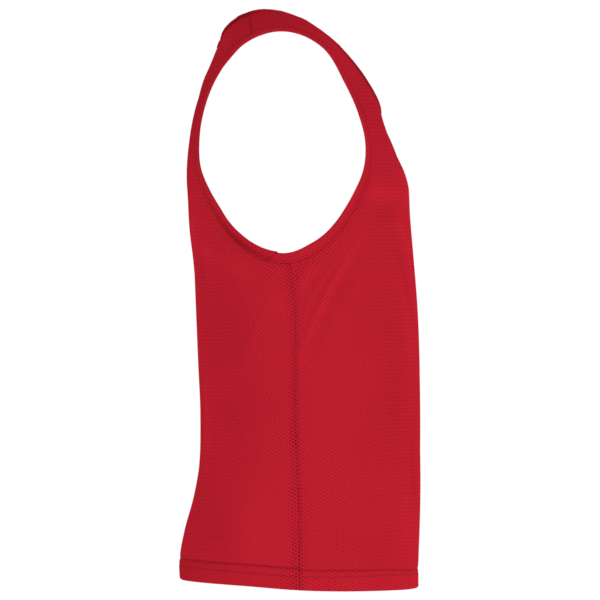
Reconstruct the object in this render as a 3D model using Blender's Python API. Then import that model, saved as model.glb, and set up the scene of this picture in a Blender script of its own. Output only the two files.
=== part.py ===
"""Mesh training bib, worn hollow with nobody in it.

Metres, +Z up. The garment's front faces -Y and the wearer's left is +X. The origin lies
between the two shoulder straps, where the wearer's shoulders hold the bib up. The body is
lofted from level half sections, and the yoke from half sections that fan out round a pivot
line through both armholes. Each piece is a wall cut out of that one surface.
"""

import math

import bmesh
import bpy
import numpy as np
from mathutils import Vector, geometry

# Cloth
PANEL_WALL = 0.0015
BAND_WALL = 0.0019  # doubled strip, standing slightly proud of the panels
BAND_PROUD = 0.0003
BAND_WIDTH = 0.011
SEAM_GAP = 0.0003

# Places in the garment
NECK_HALF_WIDTH = 0.087
PIVOT_Y = -0.015  # the line through both armholes that the yoke sections fan out from
PIVOT_Z = -0.195
SHOULDER_SEAM_ANGLE = math.radians(101.1)  # from straight ahead, up over the shoulder
FAN_RADIUS = 0.19  # turns an angle of the fan into a length along the panel
YOKE_HALF_WIDTH = 0.198
LEAST_SQUARE = 1.2  # limits of a section's squareness, where 2 is an ellipse
MOST_SQUARE = 12.0

# Facets
STEP_ACROSS = 0.015
STEP_ALONG = 0.024
STEP_EDGE = 0.0135
LEAST_STEP = 0.0017
SECTION_SAMPLES = 240
RING_SAMPLES = 720
BAND_COLUMNS = 3
MARCH_STEPS = 6
HEM_SAMPLES = 40
CROWN_SAMPLES = 100
HALVINGS = 40
NUDGE = 1e-4  # for slopes taken by small differences


class Table:
    """Rows with named columns, read smoothly along the first column."""

    def __init__(self, columns, *rows, period=None):
        rows = np.array(rows, float)
        if period:  # the first and last rows are one place, so the ends wrap round
            before, after = rows[-2].copy(), rows[1].copy()
            before[0] -= period
            after[0] += period
            rows = np.vstack([before, rows, after])
        self.key = rows[:, 0]
        self.values = dict(zip(columns.split(), rows.T))
        self.slopes = {name: np.gradient(v, self.key) for name, v in self.values.items()}

    def read(self, column, at):
        key, values, slopes = self.key, self.values[column], self.slopes[column]
        at = np.clip(at, key[0], key[-1])
        i = np.clip(np.searchsorted(key, at, side="right") - 1, 0, len(key) - 2)
        width = key[i + 1] - key[i]
        t = (at - key[i]) / width
        start = (1 + 2 * t) * values[i] + t * width * slopes[i]
        end = (3 - 2 * t) * values[i + 1] + (t - 1) * width * slopes[i + 1]
        return (1 - t) ** 2 * start + t * t * end


# Level sections of the body: where the middle of the front, the middle of the back and the
# side seam lie along Y, the half width, and how square each half section is (2 is an ellipse).
BODY = Table(
    "height front back side half_width front_square back_square",
    (-0.666, -0.1738, 0.1046, -0.0350, 0.1900, 2.35, 2.50),
    (-0.629, -0.1731, 0.1062, -0.0345, 0.1905, 2.35, 2.50),
    (-0.594, -0.1737, 0.1001, -0.0340, 0.1915, 2.35, 2.50),
    (-0.559, -0.1746, 0.0904, -0.0335, 0.1935, 2.35, 2.50),
    (-0.524, -0.1754, 0.0836, -0.0320, 0.1950, 2.35, 2.50),
    (-0.463, -0.1761, 0.0808, -0.0295, 0.1965, 2.35, 2.50),
    (-0.401, -0.1750, 0.0830, -0.0295, 0.1970, 2.35, 2.50),
    (-0.331, -0.1718, 0.0864, -0.0290, 0.1975, 2.35, 2.60),
    (-0.278, -0.1677, 0.0896, -0.0225, 0.1980, 2.37, 2.80),
    (-0.236, -0.1644, 0.0940, -0.0170, 0.1980, 2.39, 3.10),
    (-0.195, -0.1613, 0.0971, PIVOT_Y, YOKE_HALF_WIDTH, 2.40, 3.40),
)

# The middle of the front and of the back above the pivot, as the reach from the pivot at an
# angle up from straight ahead or straight behind, up to the neck edge.
CHEST = Table(
    "angle reach",
    (0.0, 0.1463),
    (8.0, 0.1428),
    (16.0, 0.1389),
    (24.0, 0.1378),
    (30.0, 0.1394),
    (36.1, 0.1437),
    (41.2, 0.1503),
)
SHOULDER_BLADES = Table(
    "angle reach",
    (0.0, 0.1121),
    (9.7, 0.1144),
    (18.7, 0.1180),
    (27.3, 0.1234),
    (35.2, 0.1307),
    (42.5, 0.1392),
    (49.3, 0.1486),
    (55.5, 0.1594),
    (61.0, 0.1716),
    (67.5, 0.1891),
)

# The finished neck edge, from the middle of the front (0) over the shoulder (90) to the
# middle of the back (180).
NECK_EDGE = Table(
    "around y z",
    (0.0, -0.1281, -0.0960),
    (22.2, -0.1250, -0.0878),
    (39.0, -0.1158, -0.0712),
    (51.1, -0.1046, -0.0546),
    (61.3, -0.0912, -0.0382),
    (71.8, -0.0724, -0.0195),
    (80.0, -0.0516, -0.0041),
    (86.0, -0.0302, 0.0074),
    (88.2, -0.0130, 0.0132),
    (90.0, 0.0030, 0.0152),
    (93.0, 0.0170, 0.0143),
    (96.9, 0.0290, 0.0106),
    (108.6, 0.0410, 0.0041),
    (121.2, 0.0495, -0.0029),
    (135.9, 0.0548, -0.0099),
    (156.5, 0.0572, -0.0169),
    (180.0, 0.0575, -0.0199),
)

# The finished armhole edge, as its reach from the pivot all the way round.
ARMHOLE_EDGE = Table(
    "angle reach",
    (-90.0, 0.0753),
    (-75.0, 0.0742),
    (-60.0, 0.0721),
    (-45.0, 0.0719),
    (-30.0, 0.0732),
    (-15.0, 0.0770),
    (0.0, 0.0852),
    (15.0, 0.0983),
    (30.0, 0.1116),
    (45.0, 0.1251),
    (60.0, 0.1444),
    (75.0, 0.1732),
    (90.0, 0.1847),
    (105.0, 0.1759),
    (120.0, 0.1535),
    (135.0, 0.1317),
    (150.0, 0.1142),
    (165.0, 0.1007),
    (180.0, 0.0869),
    (195.0, 0.0777),
    (210.0, 0.0740),
    (225.0, 0.0723),
    (240.0, 0.0725),
    (255.0, 0.0738),
    (270.0, 0.0753),
    period=360,
)

# How far that edge lies from the middle over the yoke, from straight ahead (0) to behind (180).
# It settles how square each fanned section is.
ARMHOLE_ACROSS = Table(
    "angle x",
    (0.0, 0.1736),
    (15.0, 0.1585),
    (30.0, 0.1470),
    (45.0, 0.1428),
    (60.0, 0.1425),
    (75.0, 0.1435),
    (90.0, 0.1475),
    (105.0, 0.1515),
    (120.0, 0.1510),
    (135.0, 0.1505),
    (150.0, 0.1525),
    (165.0, 0.1580),
    (180.0, 0.1690),
)

# The hem's height, by how far round from the middle of the front (0) to the side seam (1)
# and on to the middle of the back (2).
HEM = Table(
    "around height",
    (0.0, -0.6612),
    (0.5, -0.6637),
    (1.0, -0.6630),
    (1.25, -0.6580),
    (1.5, -0.6548),
    (1.75, -0.6530),
    (2.0, -0.6515),
)

FRONT = -1
BACK = 1
NECK_AROUND = 90 - 90 * np.cos(np.linspace(0, math.pi, RING_SAMPLES // 4))


def neck_point(around):
    """The finished neck edge on the wearer's left, at an angle in degrees."""
    x = np.abs(NECK_HALF_WIDTH * np.sin(np.radians(around)))
    return x, NECK_EDGE.read("y", around), NECK_EDGE.read("z", around)


def to_fan(y, z):
    """Angle and reach from the pivot of a place in the side view."""
    return np.arctan2(z - PIVOT_Z, PIVOT_Y - y), np.hypot(y - PIVOT_Y, z - PIVOT_Z)


def crown_line():
    """The middle line over the yoke and the squareness of the sections that leave it. Each
    section passes through the armhole's edge and through a known place: the middle itself,
    or across the neck opening the neck edge."""
    chest = np.linspace(0, CHEST.key[-1], CROWN_SAMPLES)
    blades = np.linspace(SHOULDER_BLADES.key[-1], 0, CROWN_SAMPLES)
    x, y, z = neck_point(np.linspace(0, 180, 4 * CROWN_SAMPLES)[1:-1])
    across, known = to_fan(y, z)
    angles = np.concatenate([np.radians(chest), across, np.pi - np.radians(blades)])
    front_reaches, back_reaches = CHEST.read("reach", chest), SHOULDER_BLADES.read("reach", blades)
    known = np.concatenate([front_reaches, known, back_reaches])
    x = np.concatenate([0 * chest, x, 0 * blades]) / YOKE_HALF_WIDTH
    edge_x = ARMHOLE_ACROSS.read("x", np.degrees(angles)) / YOKE_HALF_WIDTH
    edge = ARMHOLE_EDGE.read("reach", np.degrees(angles))
    low, high = np.full(len(angles), LEAST_SQUARE), np.full(len(angles), MOST_SQUARE)
    for _ in range(HALVINGS):
        square = (low + high) / 2
        over = edge_x**square + (edge / known) ** square * (1 - x**square) > 1
        low, high = np.where(over, square, low), np.where(over, high, square)
    return angles, known / (1 - x**square) ** (1 / square), square


CROWN_ANGLES, CROWN_REACHES, CROWN_SQUARES = crown_line()


class Section:
    """Half a section of the garment, from its middle (along 0) out to the side."""

    def __init__(self, side, row):
        """A row up to the pivot is a height. Above it, it is the height that the fan's angle
        times FAN_RADIUS adds."""
        if row <= PIVOT_Z:
            self.centre = np.array([float(BODY.read("side", row)), row])
            middle = float(BODY.read("front" if side == FRONT else "back", row))
            self.reach = abs(middle - self.centre[0])
            self.direction = np.array([side, 0.0])
            self.width = float(BODY.read("half_width", row))
            name = "front_square" if side == FRONT else "back_square"
            self.square = float(BODY.read(name, row))
        else:
            turn = (row - PIVOT_Z) / FAN_RADIUS
            angle = turn if side == FRONT else math.pi - turn
            self.centre = np.array([PIVOT_Y, PIVOT_Z])
            self.reach = float(np.interp(angle, CROWN_ANGLES, CROWN_REACHES))
            self.direction = np.array([-math.cos(angle), math.sin(angle)])
            self.width = YOKE_HALF_WIDTH
            self.square = float(np.interp(angle, CROWN_ANGLES, CROWN_SQUARES))
        bend = np.linspace(0, math.pi / 2, SECTION_SAMPLES)
        power = 2 / self.square
        self.xs = self.width * np.sin(bend) ** power
        self.reaches = self.reach * np.abs(np.cos(bend)) ** power
        self.xs[-1], self.reaches[-1] = self.width, 0.0
        steps = np.hypot(np.diff(self.xs), np.diff(self.reaches))
        self.lengths = np.concatenate([[0.0], np.cumsum(steps)])

    @property
    def length(self):
        return self.lengths[-1]

    def at(self, along):
        x = np.interp(along, self.lengths, self.xs)
        out = np.interp(along, self.lengths, self.reaches)
        y, z = self.centre + out * self.direction
        return np.array([x, y, z])

    def along_at_reach(self, out):
        return float(np.interp(out, self.reaches[::-1], self.lengths[::-1]))

    def along_at_x(self, x):
        return float(np.interp(x, self.xs, self.lengths))


def place(side, row, along):
    return Section(side, row).at(along)


def normal(side, row, along):
    """The surface's outward normal on the wearer's left half."""
    section = Section(side, row)
    low, high = max(along - NUDGE, 0.0), min(along + NUDGE, section.length)
    across = section.at(high) - section.at(low)
    up = place(side, row + NUDGE, along) - place(side, row - NUDGE, along)
    if along <= NUDGE:
        across = np.array([1.0, 0.0, 0.0])
    if along >= section.length - NUDGE:
        across = np.array([0.0, -side, 0.0])
    out = np.cross(across, up) * -side
    if along <= NUDGE:
        out[0] = 0.0
    return out / np.linalg.norm(out)


def to_panel(y, z):
    """Side, row and place along the row of a place in the side view."""
    if z <= PIVOT_Z:
        seam = float(BODY.read("side", z))
        side = FRONT if y < seam else BACK
        section = Section(side, z)
        return side, z, section.along_at_reach(abs(y - seam))
    angle, reach = to_fan(y, z)
    side = FRONT if angle < SHOULDER_SEAM_ANGLE else BACK
    turn = angle if side == FRONT else math.pi - angle
    row = PIVOT_Z + turn * FAN_RADIUS
    return side, row, Section(side, row).along_at_reach(reach)


def from_side_view(y, z):
    return place(*to_panel(y, z))


def marched(point, tangent, distance):
    """Side-view places of a walk over the surface, square to an edge, away from the pivot."""
    y, z = point
    out = np.array([-tangent[1], tangent[0]])
    out /= np.linalg.norm(out)
    if np.dot(out, [y - PIVOT_Y, z - PIVOT_Z]) < 0:
        out = -out
    for _ in range(MARCH_STEPS):
        here = from_side_view(y, z)
        there = from_side_view(y + out[0] * NUDGE, z + out[1] * NUDGE)
        stretch = np.linalg.norm(there - here) / NUDGE
        y += out[0] * distance / MARCH_STEPS / stretch
        z += out[1] * distance / MARCH_STEPS / stretch
    return y, z


def armhole_line(inset):
    """The armhole's edge moved into the cloth by inset, as side-view places. It starts at the
    shoulder seam and goes down the back, under the arm and up the front."""
    start = math.degrees(SHOULDER_SEAM_ANGLE)
    angles = np.linspace(start, start + 360, RING_SAMPLES + 1)[:-1]
    reach = ARMHOLE_EDGE.read("reach", (angles + 90) % 360 - 90)
    ys = PIVOT_Y - reach * np.cos(np.radians(angles))
    zs = PIVOT_Z + reach * np.sin(np.radians(angles))
    edge = np.stack([ys, zs], axis=1)
    if inset == 0:
        return edge
    tangents = np.roll(edge, -1, axis=0) - np.roll(edge, 1, axis=0)
    return np.array([marched(p, t, inset) for p, t in zip(edge, tangents)])


def crown_row(angle):
    """Side and row of a fan angle."""
    side = FRONT if angle < SHOULDER_SEAM_ANGLE else BACK
    turn = angle if side == FRONT else math.pi - angle
    return side, PIVOT_Z + turn * FAN_RADIUS


def crown_place(angle, x):
    """Side, row and place along the row, from a fan angle and a distance from the middle."""
    side, row = crown_row(angle)
    return side, row, Section(side, row).along_at_x(x)


def crown_step(angle, x, out, distance):
    """A short walk over the surface near the neck, and the direction that it ends in."""
    here = place(*crown_place(angle, x))
    by_angle = (place(*crown_place(angle + NUDGE, x)) - here) / NUDGE
    by_x = (place(*crown_place(angle, x + NUDGE)) - here) / NUDGE
    if x < NUDGE:
        by_x = np.array([1.0, 0.0, 0.0])
    slopes = np.stack([by_angle, by_x], axis=1)
    move = np.linalg.lstsq(slopes, out * distance, rcond=None)[0]
    out = slopes @ move
    return angle + move[0], max(x + move[1], 0.0), out / np.linalg.norm(out)


def neck_line(inset):
    """The neck edge moved into the cloth by inset, as fan angles and distances from the
    middle. It starts at the middle of the front."""
    xs, ys, zs = neck_point(NECK_AROUND)
    angles, _ = to_fan(ys, zs)
    places = [crown_place(angle, x) for angle, x in zip(angles, xs)]
    edge = np.array([place(*at) for at in places])
    tangents = np.gradient(edge, axis=0)
    tangents[0], tangents[-1] = (1.0, 0.0, 0.0), (-1.0, 0.0, 0.0)
    line = []
    for angle, x, at, tangent in zip(angles, xs, places, tangents):
        out = np.cross(normal(*at), tangent)
        out /= -np.linalg.norm(out)
        for _ in range(MARCH_STEPS if inset else 0):
            angle, x, out = crown_step(angle, x, out, inset / MARCH_STEPS)
        line.append((angle, x))
    line = np.array(line)
    line[[0, -1], 1] = 0.0
    return line


def stations(points, step):
    """Indexes of a dense line of points, about a step apart, with both ends."""
    lengths = np.concatenate([[0.0], np.cumsum(np.linalg.norm(np.diff(points, axis=0), axis=1))])
    at = np.linspace(0, lengths[-1], max(1, round(lengths[-1] / step)) + 1)
    return np.round(np.interp(at, lengths, np.arange(len(points)))).astype(int)


def spaced(line, step):
    """A polyline's own ends, and between them points about a step apart."""
    line = np.asarray(line, float)
    lengths = np.concatenate([[0.0], np.cumsum(np.linalg.norm(np.diff(line, axis=0), axis=1))])
    at = np.linspace(0, lengths[-1], max(1, round(lengths[-1] / step)) + 1)
    return np.stack([np.interp(at, lengths, column) for column in line.T], axis=1)


ARMHOLE_STATIONS = stations(armhole_line(0), STEP_EDGE)
NECK_STATIONS = stations(np.stack(neck_point(NECK_AROUND), axis=1), STEP_EDGE)


def hem_line(side):
    """The hem from the middle to the side, as rows and places along them."""
    share = np.linspace(0, 1, HEM_SAMPLES + 1)
    rows = HEM.read("height", share if side == FRONT else 2 - share)
    lengths = np.array([Section(side, row).length for row in rows]) - SEAM_GAP / 2
    return spaced(np.stack([rows, share * lengths], axis=1), STEP_EDGE)


def longest_run(flags):
    """First and last index of the longest run of true flags."""
    edges = np.flatnonzero(np.diff(np.concatenate([[0], flags, [0]])))
    starts, ends = edges[::2], edges[1::2]
    longest = np.argmax(ends - starts)
    return starts[longest], ends[longest] - 1


def shoulder_row(side):
    turn = SHOULDER_SEAM_ANGLE if side == FRONT else math.pi - SHOULDER_SEAM_ANGLE
    return PIVOT_Z + turn * FAN_RADIUS - SEAM_GAP / 2


def panel_cut(places, picked, side):
    """The part of a dense line of places that lies on one panel, as rows and places along
    them, ending at the shoulder seam: the picked stations and both ends."""
    first, last = longest_run(np.array([its == side for its, _, _ in places], int))
    dense = np.array([at[1:] for at in places])
    if side == BACK:
        dense, picked = dense[::-1], [len(dense) - 1 - i for i in picked[::-1]]
        first, last = len(dense) - 1 - last, len(dense) - 1 - first
    slant = (dense[last] - dense[last - 2]) / (dense[last][0] - dense[last - 2][0])
    corner = dense[last] + slant * (shoulder_row(side) - dense[last][0])
    inner = [dense[first]]
    for i in picked:
        far = min(np.linalg.norm(dense[i] - corner), np.linalg.norm(dense[i] - dense[first]))
        if first < i < last and far > LEAST_STEP:
            inner.append(dense[i])
    return np.array([*inner, corner])


def armhole_cut(side):
    """Where the panel is cut for the armhole band, from the side seam to the shoulder."""
    places = [to_panel(y, z) for y, z in armhole_line(BAND_WIDTH + SEAM_GAP)]
    return panel_cut(places, ARMHOLE_STATIONS, side)


def neck_cut(side):
    """Where the panel is cut for the neck band, from the middle to the shoulder."""
    places = [crown_place(angle, x) for angle, x in neck_line(BAND_WIDTH + SEAM_GAP)]
    return panel_cut(places, NECK_STATIONS, side)


def outline(side):
    """The half panel's outline as rows and places along them, counterclockwise."""
    hem, arm, neck = hem_line(side), armhole_cut(side), neck_cut(side)[::-1]
    rows = np.linspace(hem[-1][0], arm[0][0], round((arm[0][0] - hem[-1][0]) / STEP_ALONG) + 1)
    side_seam = np.array([(row, Section(side, row).length - SEAM_GAP / 2) for row in rows])
    shoulder = spaced([arm[-1], neck[0]], STEP_EDGE)
    middle = spaced([neck[-1], hem[0]], STEP_ALONG)
    return np.vstack([hem[:-1], side_seam, arm[1:-1], shoulder, neck[1:], middle[1:-1]])


def inside(points, ring):
    """Which points lie inside a closed ring."""
    x, y = points[:, 0][:, None], points[:, 1][:, None]
    (x0, y0), (x1, y1) = ring.T, np.roll(ring, -1, axis=0).T
    spans = (y0 > y) != (y1 > y)
    rise = np.where(y1 == y0, 1.0, y1 - y0)
    return ((x < x0 + (y - y0) * (x1 - x0) / rise) & spans).sum(axis=1) % 2 == 1


def distance_to(points, ring):
    """Distance from each point to a closed ring."""
    run = np.roll(ring, -1, axis=0) - ring
    offset = points[:, None, :] - ring[None]
    share = np.clip((offset * run).sum(axis=2) / (run * run).sum(axis=1), 0, 1)
    return np.linalg.norm(offset - share[..., None] * run, axis=2).min(axis=1)


def cut_panel(side):
    """The half panel as places (side, row, along) and triangles that face out."""
    ring = outline(side)
    low, high = ring.min(axis=0), ring.max(axis=0)
    rows = np.arange(low[0] + STEP_ALONG, high[0], STEP_ALONG)
    alongs = np.arange(STEP_ACROSS, high[1], STEP_ACROSS)
    lattice = np.array([(row, along) for row in rows for along in alongs])
    lattice = lattice[inside(lattice, ring)]
    lattice = lattice[distance_to(lattice, ring) > STEP_ACROSS / 2]
    points = [Vector((along, row)) for row, along in np.vstack([ring, lattice])]
    edges = [(i, (i + 1) % len(ring)) for i in range(len(ring))]
    points, _, faces, *_ = geometry.delaunay_2d_cdt(points, edges, [], 1, NUDGE / 1000)
    turned = 1 if side == FRONT else -1
    return [(side, p.y, p.x) for p in points], [face[::turned] for face in faces]


def strip(line_at, picked, closed):
    """A band's places, one column for each inset across its width, and its quads."""
    columns = [line_at(inset)[picked] for inset in np.linspace(0, BAND_WIDTH, BAND_COLUMNS)]
    places = [at for column in columns for at in column]
    count = len(picked)
    faces = []
    for column in range(BAND_COLUMNS - 1):
        for i in range(count if closed else count - 1):
            a, b = column * count + i, column * count + (i + 1) % count
            faces.append((a, b, b + count, a + count))
    return places, faces


def material(name, colour, roughness):
    made = bpy.data.materials.new(name)
    made.use_nodes = True
    shader = made.node_tree.nodes["Principled BSDF"]
    shader.inputs["Base Color"].default_value = colour
    shader.inputs["Roughness"].default_value = roughness
    shader.inputs["Metallic"].default_value = 0.0
    made.diffuse_color = colour
    return made


def shell(name, places, faces, proud, wall, cloth, flip=1):
    """A wall of cloth. Its outer layer stands proud of the surface, its inner layer lies one
    wall inside, and a rim joins them along every edge that isn't on the mirror plane."""
    work = bmesh.new()
    outer, inner = [], []
    for at in places:
        point, out = place(*at), normal(*at)
        outer.append(work.verts.new(np.multiply(point + out * proud, (flip, 1, 1))))
        inner.append(work.verts.new(np.multiply(point + out * (proud - wall), (flip, 1, 1))))
    for face in faces:
        work.faces.new([outer[i] for i in face[::flip]])
    under = dict(zip(outer, inner))
    rims = []
    for edge in work.edges:
        start, end = edge.link_loops[0].vert, edge.link_loops[0].link_loop_next.vert
        if edge.is_boundary and (abs(start.co.x) > NUDGE or abs(end.co.x) > NUDGE):
            rims.append((end, start, under[start], under[end]))
    for face in faces:
        work.faces.new([inner[i] for i in face[::-flip]])
    for rim in rims:
        work.faces.new(rim)
    mesh = bpy.data.meshes.new(name)
    work.to_mesh(mesh)
    work.free()
    mesh.materials.append(cloth)
    mesh.shade_smooth()
    piece = bpy.data.objects.new(name, mesh)
    bpy.context.scene.collection.objects.link(piece)
    return piece


def mirror(piece):
    """Adds the wearer's right half, joined along the middle."""
    both = piece.modifiers.new("other_half", "MIRROR")
    both.use_mirror_merge = True
    both.merge_threshold = NUDGE / 2


def make_panel(name, side, cloth):
    places, faces = cut_panel(side)
    mirror(shell(name, places, faces, 0.0, PANEL_WALL, cloth))


def make_neck_band(cloth):
    def line_at(inset):
        return np.array([crown_place(angle, x) for angle, x in neck_line(inset)])

    places, faces = strip(line_at, NECK_STATIONS, closed=False)
    places = [(int(side), row, along) for side, row, along in places]
    faces = [face[::-1] for face in faces]
    mirror(shell("neck_band", places, faces, BAND_PROUD, BAND_WALL, cloth))


def make_armhole_bands(cloth):
    def line_at(inset):
        return np.array([to_panel(y, z) for y, z in armhole_line(inset)])

    places, faces = strip(line_at, ARMHOLE_STATIONS[:-1], closed=True)
    places = [(int(side), row, along) for side, row, along in places]
    for name, flip in (("armhole_band_left", 1), ("armhole_band_right", -1)):
        shell(name, places, faces, BAND_PROUD, BAND_WALL, cloth, flip)


def main():
    for old in list(bpy.data.objects):
        bpy.data.objects.remove(old)
    mesh_cloth = material("mesh_cloth", (0.50, 0.012, 0.025, 1.0), 0.62)
    band_cloth = material("band_cloth", (0.45, 0.010, 0.022, 1.0), 0.68)
    make_panel("front_panel", FRONT, mesh_cloth)
    make_panel("back_panel", BACK, mesh_cloth)
    make_neck_band(band_cloth)
    make_armhole_bands(band_cloth)


main()
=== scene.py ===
import math
from functools import lru_cache

import bpy
import numpy as np
from bpy.props import FloatProperty, FloatVectorProperty, PointerProperty
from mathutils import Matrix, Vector, geometry, kdtree


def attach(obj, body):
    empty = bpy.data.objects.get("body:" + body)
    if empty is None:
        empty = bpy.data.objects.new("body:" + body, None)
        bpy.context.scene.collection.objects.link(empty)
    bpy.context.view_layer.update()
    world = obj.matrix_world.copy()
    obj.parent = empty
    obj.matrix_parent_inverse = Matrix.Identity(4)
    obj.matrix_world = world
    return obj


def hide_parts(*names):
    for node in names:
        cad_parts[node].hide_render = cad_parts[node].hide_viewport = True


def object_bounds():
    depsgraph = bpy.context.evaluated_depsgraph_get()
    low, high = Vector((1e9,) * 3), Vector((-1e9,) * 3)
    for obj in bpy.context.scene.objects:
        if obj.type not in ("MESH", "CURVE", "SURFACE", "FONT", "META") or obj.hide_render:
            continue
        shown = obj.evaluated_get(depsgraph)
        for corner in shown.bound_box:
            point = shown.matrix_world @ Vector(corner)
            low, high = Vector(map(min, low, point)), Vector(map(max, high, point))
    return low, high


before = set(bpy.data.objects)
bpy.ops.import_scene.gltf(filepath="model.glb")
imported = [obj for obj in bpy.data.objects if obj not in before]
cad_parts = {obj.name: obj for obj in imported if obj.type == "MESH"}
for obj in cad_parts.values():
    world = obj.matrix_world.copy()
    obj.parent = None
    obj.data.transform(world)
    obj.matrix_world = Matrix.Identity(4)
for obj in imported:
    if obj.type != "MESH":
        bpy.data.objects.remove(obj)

bl_info = {
    "name": "Mesh training bib",
    "version": (1, 0, 0),
    "blender": (4, 5, 0),
    "location": "3D View > Sidebar > Bib",
    "description": "Sews the cloth of a sleeveless training bib over its plain solids",
    "category": "Object",
}

CAD_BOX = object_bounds()

# ---------------------------------------------------------------- the bib's form

FRONT = -1
BACK = 1
LEFT = 1
RIGHT = -1

NECK_HALF_WIDTH = 0.087
PIVOT_Y = -0.015  # the line through both armholes that the yoke sections fan out from
PIVOT_Z = -0.195
SHOULDER_SEAM_ANGLE = math.radians(101.1)  # from straight ahead, up over the shoulder
FAN_RADIUS = 0.19  # turns an angle of the fan into a length along the panel
YOKE_HALF_WIDTH = 0.198
SQUARE_LIMITS = (1.2, 12.0)  # of a section's squareness, where 2 is an ellipse
HALVINGS = 40
SECTION_SAMPLES = 400
CROWN_SAMPLES = 100
EDGE_SAMPLES = 720  # round an armhole
WALK_STEP = 0.0008  # for walking an edge into the cloth
NUDGE = 1e-4  # for slopes taken by small differences
TINY = 1e-9
MILLIMETRE = 0.001
PERCENT = 0.01


def stacked(*parts):
    """Numbers side by side, as the columns of one array."""
    return np.stack(parts, axis=1)


def running(steps):
    """The running total of some steps, from 0."""
    return np.concatenate([[0.0], np.cumsum(steps)])


def unit(vectors):
    return vectors / np.linalg.norm(vectors, axis=-1, keepdims=True)


def rounded(share, square):
    """How far out a section of a squareness reaches, at a share of its width."""
    return (1 - share**square) ** (1 / square)


class Table:
    """Rows with named columns, read smoothly along the first column."""

    def __init__(self, columns, *rows, period=None, level_ends=False):
        rows = np.array(rows, float)
        if period:  # the first and last rows are one place, so the ends wrap round
            before, after = rows[-2].copy(), rows[1].copy()
            before[0] -= period
            after[0] += period
            rows = np.vstack([before, rows, after])
        self.key = rows[:, 0]
        self.values = dict(zip(columns.split(), rows.T))
        self.slopes = {name: np.gradient(v, self.key) for name, v in self.values.items()}
        if level_ends:
            for slopes in self.slopes.values():
                slopes[[0, -1]] = 0.0

    def read(self, column, at):
        key, values, slopes = self.key, self.values[column], self.slopes[column]
        at = np.clip(at, key[0], key[-1])
        i = np.clip(np.searchsorted(key, at, side="right") - 1, 0, len(key) - 2)
        width = key[i + 1] - key[i]
        t = (at - key[i]) / width
        start = (1 + 2 * t) * values[i] + t * width * slopes[i]
        end = (3 - 2 * t) * values[i + 1] + (t - 1) * width * slopes[i + 1]
        return (1 - t) ** 2 * start + t * t * end


# Level sections of the body: where the middle of the front, the middle of the back and the
# side seam lie along Y, the half width, and how square each half section is.
BODY = Table(
    "height front back side half_width front_square back_square",
    (-0.666, -0.1738, 0.1046, -0.0350, 0.1900, 2.35, 2.50),
    (-0.629, -0.1731, 0.1062, -0.0345, 0.1905, 2.35, 2.50),
    (-0.594, -0.1737, 0.1001, -0.0340, 0.1915, 2.35, 2.50),
    (-0.559, -0.1746, 0.0904, -0.0335, 0.1935, 2.35, 2.50),
    (-0.524, -0.1754, 0.0836, -0.0320, 0.1950, 2.35, 2.50),
    (-0.463, -0.1761, 0.0808, -0.0295, 0.1965, 2.35, 2.50),
    (-0.401, -0.1750, 0.0830, -0.0295, 0.1970, 2.35, 2.50),
    (-0.331, -0.1718, 0.0864, -0.0290, 0.1975, 2.35, 2.60),
    (-0.278, -0.1677, 0.0896, -0.0225, 0.1980, 2.37, 2.80),
    (-0.236, -0.1644, 0.0940, -0.0170, 0.1980, 2.39, 3.10),
    (-0.195, -0.1613, 0.0971, PIVOT_Y, YOKE_HALF_WIDTH, 2.40, 3.40),
)

# The middle of the front and of the back above the pivot, as the reach from the pivot at an
# angle up from straight ahead or straight behind, up to the neck edge.
CHEST = Table(
    "angle reach",
    *zip(
        (0.0, 8.0, 16.0, 24.0, 30.0, 36.1, 41.2),
        (0.1463, 0.1428, 0.1389, 0.1378, 0.1394, 0.1437, 0.1503),
    ),
)
SHOULDER_BLADES = Table(
    "angle reach",
    *zip(
        (0.0, 9.7, 18.7, 27.3, 35.2, 42.5, 49.3, 55.5, 61.0, 67.5),
        (0.1121, 0.1144, 0.1180, 0.1234, 0.1307, 0.1392, 0.1486, 0.1594, 0.1716, 0.1891),
    ),
)

# The finished neck edge, from the middle of the front (0) over the shoulder (90) to the
# middle of the back (180). It runs level across both middles.
NECK_EDGE = Table(
    "around y z",
    (0.0, -0.1281, -0.0960),
    (22.2, -0.1250, -0.0878),
    (39.0, -0.1158, -0.0712),
    (51.1, -0.1046, -0.0546),
    (61.3, -0.0912, -0.0382),
    (71.8, -0.0724, -0.0195),
    (80.0, -0.0516, -0.0041),
    (86.0, -0.0302, 0.0074),
    (88.2, -0.0130, 0.0132),
    (90.0, 0.0030, 0.0152),
    (93.0, 0.0170, 0.0143),
    (96.9, 0.0290, 0.0106),
    (108.6, 0.0410, 0.0041),
    (121.2, 0.0495, -0.0029),
    (135.9, 0.0548, -0.0099),
    (156.5, 0.0572, -0.0169),
    (180.0, 0.0575, -0.0199),
    level_ends=True,
)

# The finished armhole edge, as its reach from the pivot every 15 degrees, from straight below
# up the front and down the back.
ARMHOLE_EDGE = Table(
    "angle reach",
    *zip(
        range(-90, 271, 15),
        (
            *(0.0753, 0.0742, 0.0721, 0.0719, 0.0732, 0.0770, 0.0852, 0.0983, 0.1116, 0.1251),
            *(0.1444, 0.1732, 0.1847, 0.1759, 0.1535, 0.1317, 0.1142, 0.1007, 0.0869, 0.0777),
            *(0.0740, 0.0723, 0.0725, 0.0738, 0.0753),
        ),
    ),
    period=360,
)

# How far that edge lies from the middle over the yoke, every 15 degrees from straight ahead to
# straight behind. It settles how square each fanned section is.
ARMHOLE_ACROSS = Table(
    "angle x",
    *zip(
        range(0, 181, 15),
        (
            *(0.1736, 0.1585, 0.1470, 0.1428, 0.1425, 0.1435, 0.1475),
            *(0.1515, 0.1510, 0.1505, 0.1525, 0.1580, 0.1690),
        ),
    ),
)

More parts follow.
